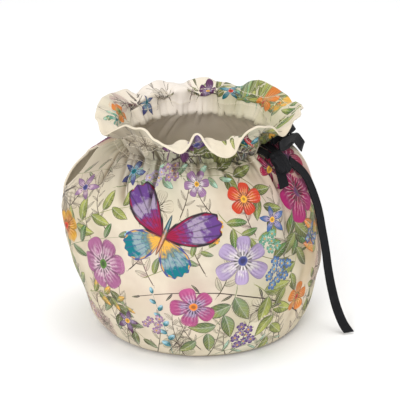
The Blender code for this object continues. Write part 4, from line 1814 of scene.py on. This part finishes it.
def knot(material):
    """The knot: a rounded block of ribbon, whose power below 1 squares it, with a groove where
    each turn of the ribbon passes over the next."""
    around_it, down = KNOT_STEPS
    turn = np.linspace(0.0, 2 * np.pi, around_it, endpoint=False)
    fall = np.linspace(-np.pi / 2, np.pi / 2, down + 1)[1:-1, None]

    def squared(value):
        return np.sign(value) * np.abs(value) ** KNOT_SQUARENESS

    flat = squared(np.cos(fall))
    body = (flat * squared(np.cos(turn)), flat * squared(np.sin(turn)), squared(np.sin(fall)) + 0 * turn)
    points = np.concatenate([beside(*body).reshape(-1, 3), [[0.0, 0.0, -1.0], [0.0, 0.0, 1.0]]])
    depth = np.zeros(len(points))
    for way, place, half_width, deepest in KNOT_FOLDS:
        way = np.radians(way)
        across = points[:, 0] * np.cos(way) + points[:, 2] * np.sin(way)
        depth += deepest * bell(across / 2 - place, half_width)
    rib = 1 + KNOT_RIB * np.sin(points[:, 0] * KNOT_RIBS)
    local = points * (rib - depth)[:, None] * KNOT_SIZE / 2
    x, y, z = local.T
    y, z = spun(y, z, KNOT_TILT)
    x, y = spun(x, y, KNOT_TURN)
    index, after = rings(down - 1, around_it)
    side = beside(index[:-1], after[:-1], after[1:], index[1:]).reshape(-1, 4)
    south = np.full(around_it, index.size)
    low = beside(after[0], index[0], south)
    high = beside(index[-1], after[-1], south + 1)
    faces = side.tolist() + low.tolist() + high.tolist()
    made = new_piece("bow_knot", beside(x, y, z) + KNOT_CENTRE, faces, material)
    set_uv(made.data, local[np.concatenate(faces)][:, [2, 0]])
    return fitted(made, "knot", "black_ribbon")


# ---- The scene


def camera():
    rise = np.radians(CAMERA_RISE)
    back = Vector((0.0, -np.cos(rise), np.sin(rise)))
    data = bpy.data.cameras.new("camera")
    data.lens = LENS_MM
    data.sensor_width = SENSOR_MM
    made = bpy.data.objects.new("camera", data)
    made.location = LOOK_AT + back * CAMERA_DISTANCE
    made.rotation_euler = (-back).to_track_quat("-Z", "Y").to_euler()
    bpy.context.scene.collection.objects.link(made)
    bpy.context.scene.camera = made


def studio():
    """A plain pale floor, a white surround, and three soft lights aimed at the cosy."""
    material, _, shader = new_material("pale_floor", 0.9, 0.0, 0.1)
    shader.inputs["Base Color"].default_value = FLOOR_WHITE
    corners = np.array([[-1.0, -1.0, 0.0], [1.0, -1.0, 0.0], [1.0, 1.0, 0.0], [-1.0, 1.0, 0.0]])
    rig.stage(new_piece("floor", corners * FLOOR_HALF, [[0, 1, 2, 3]], material))
    world = bpy.data.worlds.new("surround")
    world.use_nodes = True
    world.node_tree.nodes["Background"].inputs["Color"].default_value = PURE_WHITE
    world.node_tree.nodes["Background"].inputs["Strength"].default_value = SKY_STRENGTH
    bpy.context.scene.world = world
    for name, (place, size, power) in LIGHTS.items():
        data = bpy.data.lights.new(name, "AREA")
        data.size = size
        data.energy = power
        light = bpy.data.objects.new(name, data)
        light.location = place
        light.rotation_euler = (LOOK_AT - Vector(place)).to_track_quat("-Z", "Y").to_euler()
        bpy.context.scene.collection.objects.link(light)
    bpy.context.scene.view_settings.view_transform = "Standard"


def main():
    camera()
    weave = weave_group()
    black = ribbon_finish(weave)
    ribbons = {name: ribbon(name, black) for name in RIBBON_ROUTES}
    bow = [knot(black)] + [made for name, (made, _, _) in ribbons.items() if name not in FREE_CORDS]
    for name, (far_end, lay) in FREE_CORDS.items():
        made, middle, length = ribbons[name]
        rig.cord(
            made,
            exit=middle[0],
            length=length,
            diameter=RIBBON_WIDTH,
            far_end=far_end,
            stiffness="limp",
            lay=lay,
            path=middle,
            with_pieces=bow if name == "tail_long" else (),
        )
    cotton = printed_cotton(weave)
    spout, handle = SPOUT_HOLE, HANDLE_SLOT
    panels = {  # each seam as its azimuth, its opening, and the way round into the panel
        "front_panel": ((SPOUT_AZIMUTH - FULL_TURN, spout, 1.0), (HANDLE_AZIMUTH, handle, -1.0)),
        "back_panel": ((HANDLE_AZIMUTH, handle, 1.0), (SPOUT_AZIMUTH, spout, -1.0)),
    }
    for (node, seams), shift in zip(panels.items(), (0.0, FULL_TURN / 2)):
        cloth = panel(node + "_cloth", node, seams, shift, cotton)
        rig.sheet(cloth, flat=CUT_SIZE, held="gathered", rests_on=["floor"])
    studio()
    boxes = {"cad": [list(corner) for corner in cad_box], "visual": [list(corner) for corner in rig.bounds()]}
    with open("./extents.json", "w") as out:
        json.dump(boxes, out)


main()
